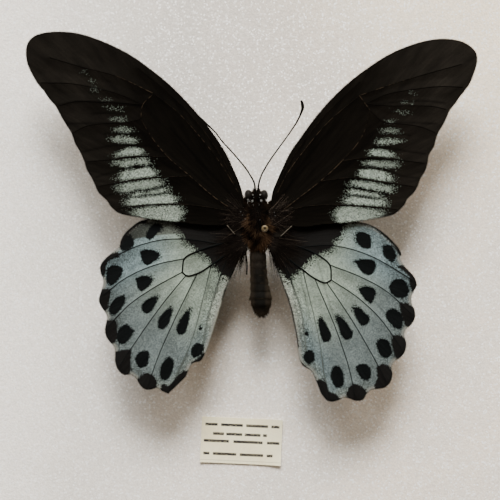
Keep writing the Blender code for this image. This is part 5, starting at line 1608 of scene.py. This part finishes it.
def collar_hair(chance):
    """Black hair that stands out all round between the head and the thorax."""
    x, z = COLLAR_CENTRE
    coat = Coat(chance)
    for _ in range(COLLAR_HAIRS):
        turn = chance.uniform(0, 2 * math.pi)
        out = Vector((math.cos(turn), chance.uniform(-0.35, 0.15), 0.9 * math.sin(turn)))
        start = Vector((x, chance.uniform(*COLLAR_Y), z)) + out * COLLAR_START
        flare = COLLAR_FLARE * smooth(COLLAR_Y[0] + COLLAR_FLARE_DEPTH, COLLAR_Y[0], start.y)
        flare *= abs(out.x)
        length = (COLLAR_HAIR + flare) * chance.uniform(*COLLAR_LENGTHS) - COLLAR_START * 0.2
        coat.grow(start, out.normalized(), length, points=4)
        coat.colour(BLACK_TONES, COLLAR_SHADES)
    for x, y, z in SHOULDERS:
        way = math.copysign(1.0, x - BODY_X)
        for _ in range(SHOULDER_HAIRS):
            place = Vector((x + chance.uniform(-0.4, 0.4), y + chance.uniform(-0.9, 0.5),
                            z + chance.uniform(-0.5, 0.3)))
            heading = Vector((way * chance.uniform(0.1, 1.0), chance.uniform(-0.3, 0.8),
                              chance.uniform(0.0, 0.4))).normalized()
            coat.grow(place, heading, chance.uniform(*SHOULDER_LENGTHS), points=4)
            coat.colour(BLACK_TONES, COLLAR_SHADES)
    return coat


def white_tufts(chance):
    """Small round tufts of white scales on the head and the collar."""
    tree, _ = surface_of("head", "thorax", "left_eye", "right_eye", "left_forewing",
                         "right_forewing")
    coat = Coat(chance)
    for x, y, size, tone, lift in WHITE_TUFTS:
        for _ in range(TUFT_SCALES):
            turn, out = chance.uniform(0, 2 * math.pi), size * math.sqrt(chance.random())
            spot = Vector((x + out * math.cos(turn), y + out * math.sin(turn), TUFT_SEARCH_Z))
            place, normal, _, _ = tree.ray_cast(spot, Vector((0, 0, -1)))
            if place is None:
                continue
            heading = (0.4 * normal + Vector((0, 0, 1.2))).normalized()
            length = (TUFT_HEIGHT + lift) * chance.uniform(*TUFT_LENGTHS)
            coat.grow(place, heading, length, TUFT_RADIUS, sway=TUFT_SWAY)
            coat.colour(tone, TUFT_SHADES)
    return coat


def root_hair(wing, settings, chance):
    """Long hair that fans out from the thorax and lies over the root of a wing."""
    kind = wing_kind(wing)
    fan = ROOT_FANS[kind]
    way = math.copysign(1.0, WING_ROOTS[wing][0] - BODY_X)
    root = Vector(WING_ROOTS[wing])
    coat = Coat(chance)
    for _ in range(int(fan["hairs"] * settings.root_hair_share)):
        angle = math.radians(chance.uniform(*fan["angles"]))
        heading = Vector((way * math.cos(angle), math.sin(angle)))
        start = root + Vector((-way * chance.uniform(*ROOT_HAIR_SETBACK),
                                chance.uniform(*ROOT_HAIR_SPREAD)))
        length = chance.uniform(*fan["lengths"])
        bend = chance.uniform(*ROOT_HAIR_BEND)
        across = Vector((-heading.y, heading.x))
        strand = []
        for k in range(ROOT_HAIR_POINTS):
            share = k / (ROOT_HAIR_POINTS - 1)
            place = start + (heading + across * bend * share) * length * share
            z = WING_ROOT_Z[kind] + WING_RISE_OUTWARD * abs(place.x - BODY_X)
            z += ROOT_HAIR_LIFT * (0.4 + math.sin(math.pi * min(1.0, share + 0.2)))
            z += fan["rise"] * (1.0 - share) ** 2
            strand.append((place.x, place.y, z, ROOT_HAIR_RADIUS * (1.0 - HAIR_TAPER * share)))
        coat.strands.append(strand)
        pale = chance.random() < fan["pale_share"]
        coat.colour(1.0 if pale else ROOT_HAIR_TONES, HAIR_SHADES)
    return coat


def abdomen_hair(settings, chance):
    """Short hair on the abdomen, longer and browner on its sides and in a tuft at its tip."""
    _, triangles = surface_of("abdomen")
    coat = Coat(chance)
    for place, normal in spots_on(triangles, settings.abdomen_hairs, chance, lambda p: True):
        side = abs(normal.x)
        tail = smooth(*TAIL_HAIR, place.y)
        heading = (normal * (0.25 + 0.25 * side) + Vector((0, -1, 0))).normalized()
        length = chance.uniform(*ABDOMEN_LENGTHS) * (0.45 + 0.35 * side + 0.6 * tail)
        if place.y < TAIL_PARTING[1]:
            split = 0.35 if place.x > TAIL_PARTING[0] else -0.35
            heading = Vector((split, -1.0, 0.0)).normalized()
            length *= 0.6
        coat.grow(place - normal * HAIR_BURIED, heading, length, FINE_HAIR_RADIUS)
        brown = min(1.0, 0.75 * smooth(*BROWN_FLANK, side) + 0.8 * tail)
        brown = max(brown, 0.22 * smooth(*BROWN_FRONT, place.y))
        coat.colour(brown * chance.uniform(0.5, 1.2), HAIR_SHADES)
    for _ in range(SIDE_TUFT_HAIRS):
        x, y, z = SIDE_TUFT
        place = Vector((x + chance.uniform(-0.2, 0.2), y + chance.uniform(-0.3, 0.3), z))
        coat.grow(place, Vector((-0.35, -1.0, 0.1)).normalized(),
                  chance.uniform(*SIDE_TUFT_LENGTHS))
        coat.colour(SIDE_TUFT_TONES, 1.0)
    return coat


def jointed_tube(route, segment, swell):
    """A thin limb as one strand whose rings swell a little, once in each segment length."""
    places = through(route, segment / LIMB_POINTS_PER_RING)
    walked = walked_along(places[:, :3])
    places[:, 3] *= 1.0 + swell * np.sin(walked / segment * 2.0 * math.pi)
    return places


def add_limb(name, node, route, segment, swell, material):
    shape = bmesh.new()
    add_strands(shape, [jointed_tube(route, segment, swell)], LIMB_SIDES)
    add_piece(name, shape, [node], [material])


def grow_bristles(coat, route):
    """Fine bristles round a limb, slanting towards its end."""
    places = through(route, BRISTLE_GAP)
    for here, ahead in zip(places[:-1], places[1:]):
        along = Vector((ahead - here)[:3]).normalized()
        turn = coat.chance.uniform(0, 2 * math.pi)
        out = along.orthogonal().normalized()
        out.rotate(Quaternion(along, turn))
        heading = (out + along * BRISTLE_SLANT).normalized()
        start = Vector(here[:3]) + out * here[3] * 0.8
        coat.grow(start, heading, BRISTLE_LENGTH * coat.chance.uniform(*BRISTLE_LENGTHS),
                  BRISTLE_RADIUS, sway=BRISTLE_SWAY)
        coat.colour(BRISTLE_TONES, BRISTLE_SHADES)


# Eyes, limbs and pin -------------------------------------------------------------------------

def eye_material(settings):
    """Dark brown compound eye: fine facets under a gloss, paler towards its rim."""
    material, nodes, shader = new_material("compound eye", 0.4, EYE_GLOSS)
    x, y, _ = nodes.parts(nodes.place())
    out = nodes.math("ABSOLUTE", nodes.math("SUBTRACT", x, EYES_MIDDLE[0] * MM))
    across = nodes.math("DIVIDE", nodes.math("SUBTRACT", out, EYES_APART * MM),
                        EYE_HALF_SIZE[0] * MM)
    along = nodes.math("DIVIDE", nodes.math("SUBTRACT", y, EYES_MIDDLE[1] * MM),
                       EYE_HALF_SIZE[1] * MM)
    from_middle = nodes.math("SQRT", nodes.math("ADD", nodes.times(across, across),
                                                nodes.times(along, along)))
    colour = nodes.mix(nodes.ramp(from_middle, *EYE_RIM), settings.eye, settings.eye_rim)
    facets = nodes.cells(1.0 / (EYE_FACET * MM), "Distance")
    nodes.finish(shader, nodes.shade(colour, nodes.grain(*EYE_GRAIN)),
                 nodes.times(facets, -1.0), *EYE_BUMP)
    return material


def eye_shape(side):
    shape = bmesh.new()
    bmesh.ops.create_uvsphere(shape, u_segments=EYE_SIDES, v_segments=EYE_SIDES // 2, radius=1.0)
    bmesh.ops.scale(shape, vec=EYE_HALF_SIZE, verts=shape.verts)
    bmesh.ops.translate(shape, vec=EYE_CENTRES[side], verts=shape.verts)
    return shape


def coil_route():
    """The coiled tongue, from its outer end under the face to its middle."""
    x, y, z = PROBOSCIS_CENTRE
    route = []
    for k in range(PROBOSCIS_POINTS):
        share = k / (PROBOSCIS_POINTS - 1)
        angle = math.pi / 2 - share * PROBOSCIS_TURNS * 2 * math.pi
        radius = PROBOSCIS_RADII[0] + (PROBOSCIS_RADII[1] - PROBOSCIS_RADII[0]) * share
        route.append((x, y + radius * math.cos(angle), z + radius * math.sin(angle),
                      PROBOSCIS_THICKNESS * (1.0 - 0.4 * share)))
    return route


def spun(profile, centre, steps):
    """A turned form: a profile of radius and height spun round an upright axis."""
    shape = bmesh.new()
    x, y = centre
    verts = [shape.verts.new((x + radius, y, z)) for radius, z in profile]
    edges = [shape.edges.new(pair) for pair in zip(verts[:-1], verts[1:])]
    bmesh.ops.spin(shape, geom=[*verts, *edges], cent=(x, y, 0.0), axis=(0, 0, 1),
                   angle=2 * math.pi, steps=steps, use_merge=True)
    bmesh.ops.remove_doubles(shape, verts=shape.verts, dist=MERGE_GAP)
    bmesh.ops.recalc_face_normals(shape, faces=shape.faces)
    return shape


def steel_material(settings):
    """Drawn steel wire with fine lengthwise scratches and dull spots."""
    material, nodes, shader = new_material("pin steel", 0.35, Metallic=1.0)
    stretched = nodes.add("ShaderNodeMapping", {
        "Vector": nodes.place(), "Scale": (1.0, 1.0, SCRATCH_STRETCH)})
    dull = nodes.ramp(nodes.noise(nodes.place(), DULL_SPOT_SIZE, detail=3.0), *DULL_SPOTS)
    end = nodes.ramp(nodes.parts(nodes.place())[2], *WIRE_END)
    colour = nodes.mix(end, nodes.mix(dull, settings.steel, settings.tarnish),
                       nodes.shade(settings.pin_middle, WIRE_END_SHADE))
    nodes.feed(shader["Roughness"], nodes.scaled(dull, DULL_ROUGHER, BRIGHT_ROUGHNESS))
    nodes.finish(shader, colour, nodes.noise(stretched, SCRATCH_SIZE, detail=3.0), *STEEL_BUMP)
    return material


def pin_head_material(settings):
    """Yellowed enamel on the pin's turned head, darker round the wire and towards its rim."""
    material, nodes, shader = new_material("pin head enamel", 0.3, PLAIN)
    place = nodes.parts(nodes.place())
    away = nodes.math("SQRT", nodes.math("ADD", *(
        nodes.math("POWER", nodes.math("SUBTRACT", place[axis], PIN_AXIS[axis] * MM), 2.0)
        for axis in (0, 1))))
    worn = nodes.math("MAXIMUM", nodes.ramp(away, *DARK_BY_WIRE), nodes.ramp(away, *DARK_RIM))
    enamel = nodes.shade(settings.pin_head, nodes.grain(*ENAMEL_GRAIN))
    nodes.finish(shader, nodes.mix(worn, enamel, settings.pin_middle),
                 nodes.relief(ENAMEL_RELIEF), *ENAMEL_BUMP)
    return material


# Foam and label ------------------------------------------------------------------------------

def foam_shape(settings):
    """The slab with rounded edges, a softly uneven top and a dimple round the pin."""
    low, high = ([value / MM for value in corner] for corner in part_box("foam_base"))
    shape = bmesh.new()
    bmesh.ops.create_cube(shape, size=1.0)
    bmesh.ops.scale(shape, vec=[b - a for a, b in zip(low, high)], verts=shape.verts)
    bmesh.ops.translate(shape, vec=[(a + b) / 2 for a, b in zip(low, high)], verts=shape.verts)
    bmesh.ops.bevel(shape, geom=shape.edges[:], offset=settings.edge_radius / MM, segments=4,
                    profile=0.5, affect="EDGES", material=-1)
    for axis in (0, 1):
        across = Vector((1 - axis, axis, 0))
        for k in range(1, FOAM_CELLS):
            at = low[axis] + (high[axis] - low[axis]) * k / FOAM_CELLS
            bmesh.ops.bisect_plane(shape, geom=[*shape.verts, *shape.edges, *shape.faces],
                                   dist=TINY, plane_co=across * at, plane_no=across)
    for vert in shape.verts:
        top = smooth(FOAM_TOP - 1.0, FOAM_TOP, vert.co.z)
        uneven = noise.noise(vert.co / FOAM_WAVE) - 1.0
        dimple = math.exp(-((vert.co.xy - Vector(PIN_AXIS)).length / DIMPLE_RADIUS) ** 2)
        vert.co.z += top * (0.5 * settings.unevenness / MM * uneven - DIMPLE_DEPTH * dimple)
    return shape


def foam_material(settings):
    """White closed-cell foam: small pebbles with bright specks and a few soft stains, under
    painted shade and painted light across its top.
    """
    material, nodes, shader = new_material("white foam", 0.85, PLAIN)
    across, up, _ = nodes.parts(nodes.place())
    stains = nodes.noise(nodes.place(), STAIN_SIZE)
    # Yellowing and painted warm light, both growing towards the right
    colour = nodes.mix(nodes.ramp(nodes.scaled(stains, STAIN_SWAY, across), *YELLOWED_AND_WARM_LIT),
                       settings.colour, settings.yellowed)
    colour = nodes.mix(nodes.ramp(stains, *STAINED), colour, settings.stain)
    # Painted shade over the middle of the top, towards the head end
    dull = nodes.times(nodes.ramp(up, *PAINTED_SHADE_UPWARD),
                       nodes.ramp(nodes.math("ABSOLUTE", across), *PAINTED_SHADE_ACROSS))
    colour = nodes.shade(colour, nodes.scaled(dull, PAINTED_SHADE_DEPTH, 1.0))
    # Painted light, brighter at the left edge of the top
    colour = nodes.shade(colour, nodes.ramp(across, *PAINTED_LIGHT_LEFT))
    # Painted warm light in the far right corner
    colour = nodes.mix(nodes.ramp(nodes.math("ADD", across, up), *PAINTED_WARM_CORNER), colour,
                       settings.painted_warm_light)
    colour = nodes.shade(colour, nodes.times(nodes.grain(*FOAM_GRAIN), nodes.tones(*FOAM_TONES)))
    pebble = nodes.parts(nodes.cells_of(settings.cell))
    colour = nodes.mix(nodes.times(nodes.ramp(pebble[1], *DIM_PEBBLES), DIM_PEBBLE_SHARE), colour,
                       settings.stain)
    colour = nodes.mix(nodes.times(nodes.ramp(pebble[0], *BRIGHT_PEBBLES), BRIGHT_PEBBLE_SHARE),
                       colour, settings.speck)
    sparks = nodes.parts(nodes.cells(1.0 / (FOAM_SPARK * MM)))[0]
    colour = nodes.mix(nodes.ramp(sparks, *SPARKS), colour, settings.speck)
    dents = nodes.cells(nodes.math("DIVIDE", 1.0, settings.cell), "Distance")
    nodes.finish(shader, colour, nodes.scaled(dents, PEBBLE_RELIEF, nodes.relief(FOAM_RELIEF)),
                 *FOAM_BUMP)
    return material


def label_shape(settings):
    """The paper slip, a thin sheet whose corners curl up a little."""
    shape = bmesh.new()
    wide, deep = LABEL_SIZE
    bmesh.ops.create_grid(shape, x_segments=LABEL_CELLS[0], y_segments=LABEL_CELLS[1], size=0.5)
    layer = shape.loops.layers.uv.new("UVMap")
    for face in shape.faces:
        for loop in face.loops:
            loop[layer].uv = (loop.vert.co.x + 0.5, loop.vert.co.y + 0.5)
    for vert in shape.verts:
        corner = abs(vert.co.x * 2.0) ** 3 * abs(vert.co.y * 2.0) ** 2
        side = CURL_RIGHT if vert.co.x > 0 else CURL_LEFT
        vert.co = (vert.co.x * wide, vert.co.y * deep,
                   LABEL_Z + settings.curl / MM * corner * side)
    thicken(shape, LABEL_THICKNESS)
    bmesh.ops.rotate(shape, cent=(0, 0, 0), verts=shape.verts,
                     matrix=Matrix.Rotation(math.radians(LABEL_TURN), 3, "Z"))
    bmesh.ops.translate(shape, vec=(*LABEL_CENTRE, 0.0), verts=shape.verts)
    return shape


def label_material(settings):
    """Cream paper with rows of short worn ink strokes over a faint pencil line."""
    material, nodes, shader = new_material("cream paper", 0.85, PLAIN)
    u, v, _ = nodes.parts(nodes.add("ShaderNodeTexCoord", out="UV"))
    clouds = nodes.ramp(nodes.noise(nodes.place(), PAPER_CLOUD_SIZE), *PAPER_CLOUDS)
    paper = nodes.shade(nodes.mix(clouds, settings.paper, settings.paper_aged),
                        nodes.grain(*PAPER_GRAIN))
    ink = 0.0
    for row, start, end, dash, shift in INK_ROWS:
        level = nodes.math("ABSOLUTE", nodes.math("SUBTRACT", v, row))
        step = nodes.math("FRACT", nodes.scaled(u, dash, shift))
        gap = nodes.math("MINIMUM", nodes.ramp(step, *INK_STROKE_START),
                         nodes.ramp(step, *INK_STROKE_END))
        within = nodes.times(nodes.ramp(u, start, start + INK_ROW_FADE),
                             nodes.ramp(u, end, end - INK_ROW_FADE))
        ink = nodes.math("MAXIMUM", ink, nodes.times(nodes.ramp(level, *INK_STROKE), gap, within))
    worn = nodes.ramp(nodes.noise(nodes.place(), INK_SPOT_SIZE), *INK_WORN)
    colour = nodes.mix(nodes.times(ink, worn), paper, settings.ink)
    rule = nodes.math("ABSOLUTE", nodes.math("SUBTRACT", v, RULE_LEVEL))
    colour = nodes.mix(nodes.ramp(rule, *RULE_LINE), colour, settings.ink)
    nodes.finish(shader, colour, nodes.relief(PAPER_RELIEF), *PAPER_BUMP)
    return material


# Stage ---------------------------------------------------------------------------------------

def add_soft_light(name, turn, height, power, colour):
    """A round soft light on the dome over the object, turned to its middle."""
    light = bpy.data.lights.new(name, "AREA")
    light.shape = "DISK"
    light.size = LIGHT_SIZE
    light.energy = power
    light.color = colour
    turn, height = math.radians(turn), math.radians(height)
    place = LIGHT_DISTANCE * Vector((math.sin(turn) * math.cos(height),
                                     math.cos(turn) * math.cos(height), math.sin(height)))
    lamp = bpy.data.objects.new(name, light)
    lamp.location = place
    lamp.rotation_euler = (-place).to_track_quat("-Z", "Y").to_euler()
    bpy.context.scene.collection.objects.link(lamp)


# Settings ------------------------------------------------------------------------------------

def tint(name, description, default):
    return FloatVectorProperty(name=name, description=description, subtype="COLOR", size=3,
                               min=0.0, max=1.0, default=default)


def measure(name, description, default):
    return FloatProperty(name=name, description=description, unit="LENGTH", min=0.0,
                         precision=5, default=default)


def number(name, description, default):
    return IntProperty(name=name, description=description, min=0, default=default)


class WingSettings(PropertyGroup):
    """Sizes and colours of the wings."""

    thickness: measure("Thickness", "Thickness of a wing's sheet", 0.00012)
    cell: measure("Cell", "Size of the cells a wing's sheet is cut into", 0.00035)
    vein_radius: measure("Vein radius", "Half the thickness of a vein", 0.00011)
    fringe_length: measure("Fringe", "Length of the scales round the rim", 0.0003)
    black_inner: tint("Inner black", "Black of the forewings near the body",
                      (0.0022, 0.0018, 0.0013))
    # Black of the forewings' tips, greyed by painted sheen
    black_tip_sheen: tint("Outer black", "Faded black of the forewings' tips",
                      (0.0068, 0.0058, 0.0046))
    pale: tint("Band", "Pale scales of the forewings", (0.172, 0.205, 0.176))
    # Brown veins near the body, lightened by painted glint
    vein_glint: tint("Pale veins", "Bare brown veins near the body", (0.036, 0.025, 0.016))
    ridge: tint("Ridges", "Pale ridge along the rear edge of a forewing's root",
                (0.135, 0.12, 0.095))
    pale_inner: tint("Inner hindwing", "Pale scales near the body", (0.195, 0.236, 0.196))
    pale_outer: tint("Outer hindwing", "Bluish scales near the margin", (0.100, 0.123, 0.123))
    pale_blue: tint("Blue hindwing", "Bluer scales in front and along the inner rim",
                    (0.122, 0.170, 0.186))
    # Painted shadow of the fold near the left hindwing's front rim
    front_fold_shadow: tint("Front hindwing", "Duller scales near the front rim", (0.070, 0.079, 0.068))
    pale_rim: tint("Inner rim", "Whitish scales along the inner rim", (0.330, 0.375, 0.320))
    notch: tint("Notches", "Whitish scales at the notched rim", (0.200, 0.195, 0.170))
    dust: tint("Dust", "Dark scales dusted in near the rim", (0.022, 0.024, 0.023))
    mark: tint("Marks", "Black marks of the hindwings", (0.0033, 0.0040, 0.0041))
    lobe: tint("Lobes", "Brown black of the hindwings' rim and base", (0.0062, 0.0060, 0.0057))
    vein_dark: tint("Dark veins", "Veins of the hindwings", (0.0042, 0.0042, 0.0038))
    vein_soft: tint("Soft veins", "Paler veins along the inner rim", (0.120, 0.138, 0.122))


class BodySettings(PropertyGroup):
    """Hair, skin, eyes, limbs and pin."""

    hair_length: measure("Hair length", "Longest hair on the thorax", 0.0017)
    thorax_hairs: number("Thorax hairs", "Hairs on the thorax", 5200)
    head_hairs: number("Head hairs", "Hairs on the head", 1500)
    abdomen_hairs: number("Abdomen hairs", "Hairs on the abdomen", 6500)
    root_hair_share: FloatProperty(name="Wing root hair", subtype="FACTOR", min=0.0, max=1.0,
                                   description="Share of the full fans of hair on the wings",
                                   default=1.0)
    skin: tint("Skin", "Skin under the hair", (0.0020, 0.0015, 0.0011))
    abdomen: tint("Abdomen", "Middle of the abdomen's back", (0.0066, 0.0062, 0.0054))
    abdomen_side: tint("Abdomen sides", "Sides and tip of the abdomen", (0.021, 0.0165, 0.0120))
    abdomen_hair: tint("Abdomen hair", "Hair on the abdomen's sides and tip",
                       (0.055, 0.041, 0.028))
    ring_band: tint("Ring bands", "Bare pale rims of the rings", (0.024, 0.019, 0.013))
    hair_black: tint("Black hair", "Hair on the head and the collar", (0.0018, 0.0014, 0.0011))
    hair_brown: tint("Brown hair", "Hair on the thorax", (0.092, 0.053, 0.029))
    hair_pale: tint("Pale hair", "Few pale hairs on the wing roots", (0.085, 0.064, 0.050))
    tuft: tint("White tufts", "White scales on the head", (0.42, 0.42, 0.41))
    eye: tint("Eye", "Compound eye", (0.0075, 0.0065, 0.0055))
    eye_rim: tint("Eye rim", "Paler rim of the eye", (0.020, 0.0175, 0.015))
    limb: tint("Limbs", "Antennae, legs and tongue", (0.0024, 0.0020, 0.0016))
    limb_bristle: tint("Bristles", "Bristles on the limbs", (0.010, 0.007, 0.005))
    steel: tint("Steel", "Bright steel of the pin", (0.36, 0.35, 0.33))
    tarnish: tint("Tarnish", "Dull spots on the pin", (0.10, 0.08, 0.06))
    pin_head: tint("Pin head", "Yellowed enamel of the pin's head", (0.102, 0.076, 0.038))
    pin_middle: tint("Pin middle", "Wire end in the pin's head", (0.066, 0.047, 0.024))


class FoamSettings(PropertyGroup):
    """The slab of pinning foam."""

    edge_radius: measure("Edge radius", "Rounding of the slab's edges", 0.0008)
    unevenness: measure("Unevenness", "How far the top sinks between its highs", 0.00012)
    cell: measure("Pebbles", "Size of the foam's pebbles", 0.0006)
    colour: tint("Foam", "White of the foam", (0.81, 0.772, 0.72))
    # Yellowed foam, which also carries painted warm light towards the right
    yellowed: tint("Yellowed foam", "Foam that light has yellowed", (0.86, 0.765, 0.66))
    stain: tint("Stains", "Soft stains on the foam", (0.74, 0.71, 0.66))
    # Painted warm light in the far right corner of the foam
    painted_warm_light: tint("Warm corner", "Yellower foam in the far corner", (0.97, 0.85, 0.66))
    speck: tint("Specks", "Bright specks of the foam", (0.99, 0.98, 0.96))


class LabelSettings(PropertyGroup):
    """The paper slip under the butterfly."""

    curl: measure("Curl", "How far the corners stand up", 0.0004)
    paper: tint("Paper", "Cream paper", (0.93, 0.87, 0.61))
    paper_aged: tint("Aged paper", "Darker clouds in the paper", (0.88, 0.80, 0.54))
    ink: tint("Ink", "Ink of the ruled strokes", (0.012, 0.011, 0.012))


class StageSettings(PropertyGroup):
    """Floor, lights and camera."""

    camera_height: measure("Camera height", "Height of the camera over the floor", 0.427)
    lens: FloatProperty(name="Lens", description="Focal length in millimetres", default=108.0)
    floor: tint("Floor", "Plain pale floor", (0.78, 0.77, 0.75))
    dome: FloatProperty(name="Dome", description="Strength of the even light all round",
                        default=0.045)


SETTINGS = {"butterfly_wings": WingSettings, "butterfly_body": BodySettings,
            "butterfly_foam": FoamSettings, "butterfly_label": LabelSettings,
            "butterfly_stage": StageSettings}


# Operators -----------------------------------------------------------------------------------

def build_pair(kind, make_materials, settings):
    materials = make_materials(settings)
    for side in ("left", "right"):
        build_wing(side + "_" + kind, materials, settings)


class SPECIMEN_OT_forewings(Operator):
    """Build both forewings with their pale band, veins and fringe"""

    bl_idname = "specimen.forewings"
    bl_label = "Forewings"

    def execute(self, context):
        build_pair("forewing", forewing_materials, context.scene.butterfly_wings)
        return {"FINISHED"}


class SPECIMEN_OT_hindwings(Operator):
    """Build both hindwings with their black marks, veins and fringe"""

    bl_idname = "specimen.hindwings"
    bl_label = "Hindwings"

    def execute(self, context):
        build_pair("hindwing", hindwing_materials, context.scene.butterfly_wings)
        return {"FINISHED"}


class SPECIMEN_OT_hair(Operator):
    """Grow the hair of the thorax, the head and the wing roots"""

    bl_idname = "specimen.hair"
    bl_label = "Hair"

    def execute(self, context):
        settings = context.scene.butterfly_body
        chance = random.Random(HAIR_SEED)
        brown = hair_material("brown hair", settings.hair_black, settings.hair_brown)
        pale = hair_material("wing root hair", settings.hair_black, settings.hair_pale)
        white = hair_material("white tuft scales", settings.hair_black, settings.tuft)
        skin = skin_material("dark skin", settings.skin, 0.7, 0.12)
        for node in ("thorax", "head", "left_palp", "right_palp"):
            dress_node(node, skin)
        coat_piece("thorax_hair", thorax_hair(settings, chance), brown)
        coat_piece("head_hair", head_hair(settings, chance), brown)
        coat_piece("collar_hair", collar_hair(chance), brown)
        coat_piece("head_white_tufts", white_tufts(chance), white)
        for wing in WING_ROOTS:
            coat_piece(wing + "_root_hair", root_hair(wing, settings, chance), pale)
        return {"FINISHED"}


class SPECIMEN_OT_abdomen(Operator):
    """Build the abdomen's lapping rings and its short hair"""

    bl_idname = "specimen.abdomen"
    bl_label = "Abdomen"

    def execute(self, context):
        settings = context.scene.butterfly_body
        shape = lofted_rings(ABDOMEN_STATIONS, ABDOMEN_SIDES, ABDOMEN_ROWS, ring_groove)
        add_piece("abdomen_rings", shape, ["abdomen"], [abdomen_material(settings)])
        chance = random.Random(ABDOMEN_SEED)
        hairs = hair_material("abdomen hair", settings.hair_black, settings.abdomen_hair)
        coat_piece("abdomen_hair", abdomen_hair(settings, chance), hairs)
        return {"FINISHED"}


class SPECIMEN_OT_eyes(Operator):
    """Build the two glossy compound eyes"""

    bl_idname = "specimen.eyes"
    bl_label = "Eyes"

    def execute(self, context):
        material = eye_material(context.scene.butterfly_body)
        for side in EYE_CENTRES:
            add_piece(side + "_compound_eye", eye_shape(side), [side + "_eye"], [material])
        return {"FINISHED"}


class SPECIMEN_OT_limbs(Operator):
    """Build the antennae, the legs and the coiled tongue, with their rings and bristles"""

    bl_idname = "specimen.limbs"
    bl_label = "Limbs"

    def execute(self, context):
        settings = context.scene.butterfly_body
        horn = skin_material("limb horn", settings.limb, 0.45, 0.2)
        bristle = hair_material("limb bristles", settings.limb, settings.limb_bristle)
        for side, route in ANTENNA_ROUTES.items():
            name = side + "_antenna"
            add_limb(name + "_ringed", name, route, ANTENNA_SEGMENT, ANTENNA_SWELL, horn)
        coat = Coat(random.Random(LIMB_SEED))
        for name, route in LEG_ROUTES.items():
            add_limb(name + "_ringed", name, route, LEG_SEGMENT, LEG_SWELL, horn)
            grow_bristles(coat, route)
        coat_piece("leg_bristles", coat, bristle)
        add_limb("coiled_tongue", "proboscis", coil_route(), TONGUE_SEGMENT, TONGUE_SWELL, horn)
        return {"FINISHED"}


class SPECIMEN_OT_pin(Operator):
    """Build the pin's turned head and finish its steel wire"""

    bl_idname = "specimen.pin"
    bl_label = "Pin"

    def execute(self, context):
        settings = context.scene.butterfly_body
        dress_node("pin_shaft", steel_material(settings))
        add_piece("pin_head_turned", spun(PIN_HEAD_PROFILE, PIN_AXIS, PIN_STEPS),
                  ["pin_head"], [pin_head_material(settings)])
        return {"FINISHED"}


class SPECIMEN_OT_foam(Operator):
    """Build the slab of pinning foam"""

    bl_idname = "specimen.foam"
    bl_label = "Foam slab"

    def execute(self, context):
        settings = context.scene.butterfly_foam
        add_piece("foam_slab", foam_shape(settings), ["foam_base"],
                  [foam_material(settings)])
        return {"FINISHED"}


class SPECIMEN_OT_label(Operator):
    """Build the curled paper slip with its ruled ink strokes"""

    bl_idname = "specimen.label"
    bl_label = "Paper label"

    def execute(self, context):
        settings = context.scene.butterfly_label
        add_piece("label_slip", label_shape(settings), ["label"],
                  [label_material(settings)], hard=True)
        return {"FINISHED"}


class SPECIMEN_OT_stage(Operator):
    """Set the pale floor, the soft lights and the camera"""

    bl_idname = "specimen.stage"
    bl_label = "Stage"

    def execute(self, context):
        settings = context.scene.butterfly_stage
        shape = bmesh.new()
        bmesh.ops.create_grid(shape, x_segments=1, y_segments=1, size=FLOOR_HALF)
        mesh = bpy.data.meshes.new("floor")
        shape.to_mesh(mesh)
        shape.free()
        material, nodes, shader = new_material("pale floor", 0.8)
        nodes.feed(shader["Base Color"], settings.floor)
        mesh.materials.append(material)
        floor = bpy.data.objects.new("floor", mesh)
        context.scene.collection.objects.link(floor)
        for light in LIGHTS:
            add_soft_light(*light)
        world = bpy.data.worlds.new("studio")
        world.use_nodes = True
        background = world.node_tree.nodes["Background"]
        background.inputs["Color"].default_value = (*DOME_COLOUR, 1.0)
        background.inputs["Strength"].default_value = settings.dome
        context.scene.world = world
        camera = bpy.data.cameras.new("overhead")
        camera.lens = settings.lens
        camera.sensor_width = SENSOR_WIDTH
        camera.clip_start, camera.clip_end = CAMERA_CLIP
        holder = bpy.data.objects.new("overhead", camera)
        holder.location = (0.0, 0.0, settings.camera_height)
        context.scene.collection.objects.link(holder)
        context.scene.camera = holder
        return {"FINISHED"}


OPERATORS = (SPECIMEN_OT_forewings, SPECIMEN_OT_hindwings, SPECIMEN_OT_hair,
             SPECIMEN_OT_abdomen, SPECIMEN_OT_eyes, SPECIMEN_OT_limbs, SPECIMEN_OT_pin,
             SPECIMEN_OT_foam, SPECIMEN_OT_label, SPECIMEN_OT_stage)


class SPECIMEN_PT_panel(Panel):
    """Lists the settings and the operators of the butterfly"""

    bl_idname = "SPECIMEN_PT_panel"
    bl_label = "Pinned butterfly"
    bl_space_type = "VIEW_3D"
    bl_region_type = "UI"
    bl_category = "Butterfly"

    def draw(self, context):
        for operator in OPERATORS:
            self.layout.operator(operator.bl_idname)
        for name, group in SETTINGS.items():
            box = self.layout.box()
            for label in group.__annotations__:
                box.prop(getattr(context.scene, name), label)


def register():
    for group in (*SETTINGS.values(), *OPERATORS, SPECIMEN_PT_panel):
        bpy.utils.register_class(group)
    for name, group in SETTINGS.items():
        setattr(bpy.types.Scene, name, PointerProperty(type=group))


def unregister():
    for name in SETTINGS:
        delattr(bpy.types.Scene, name)
    for group in reversed((*SETTINGS.values(), *OPERATORS, SPECIMEN_PT_panel)):
        bpy.utils.unregister_class(group)


def main():
    """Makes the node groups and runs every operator."""
    register()
    make_speckled_mask()
    make_streaks()
    make_grain()
    make_scale_tones()
    for operator in OPERATORS:
        group, name = operator.bl_idname.split(".")
        getattr(getattr(bpy.ops, group), name)()


if __name__ == "__main__":
    main()
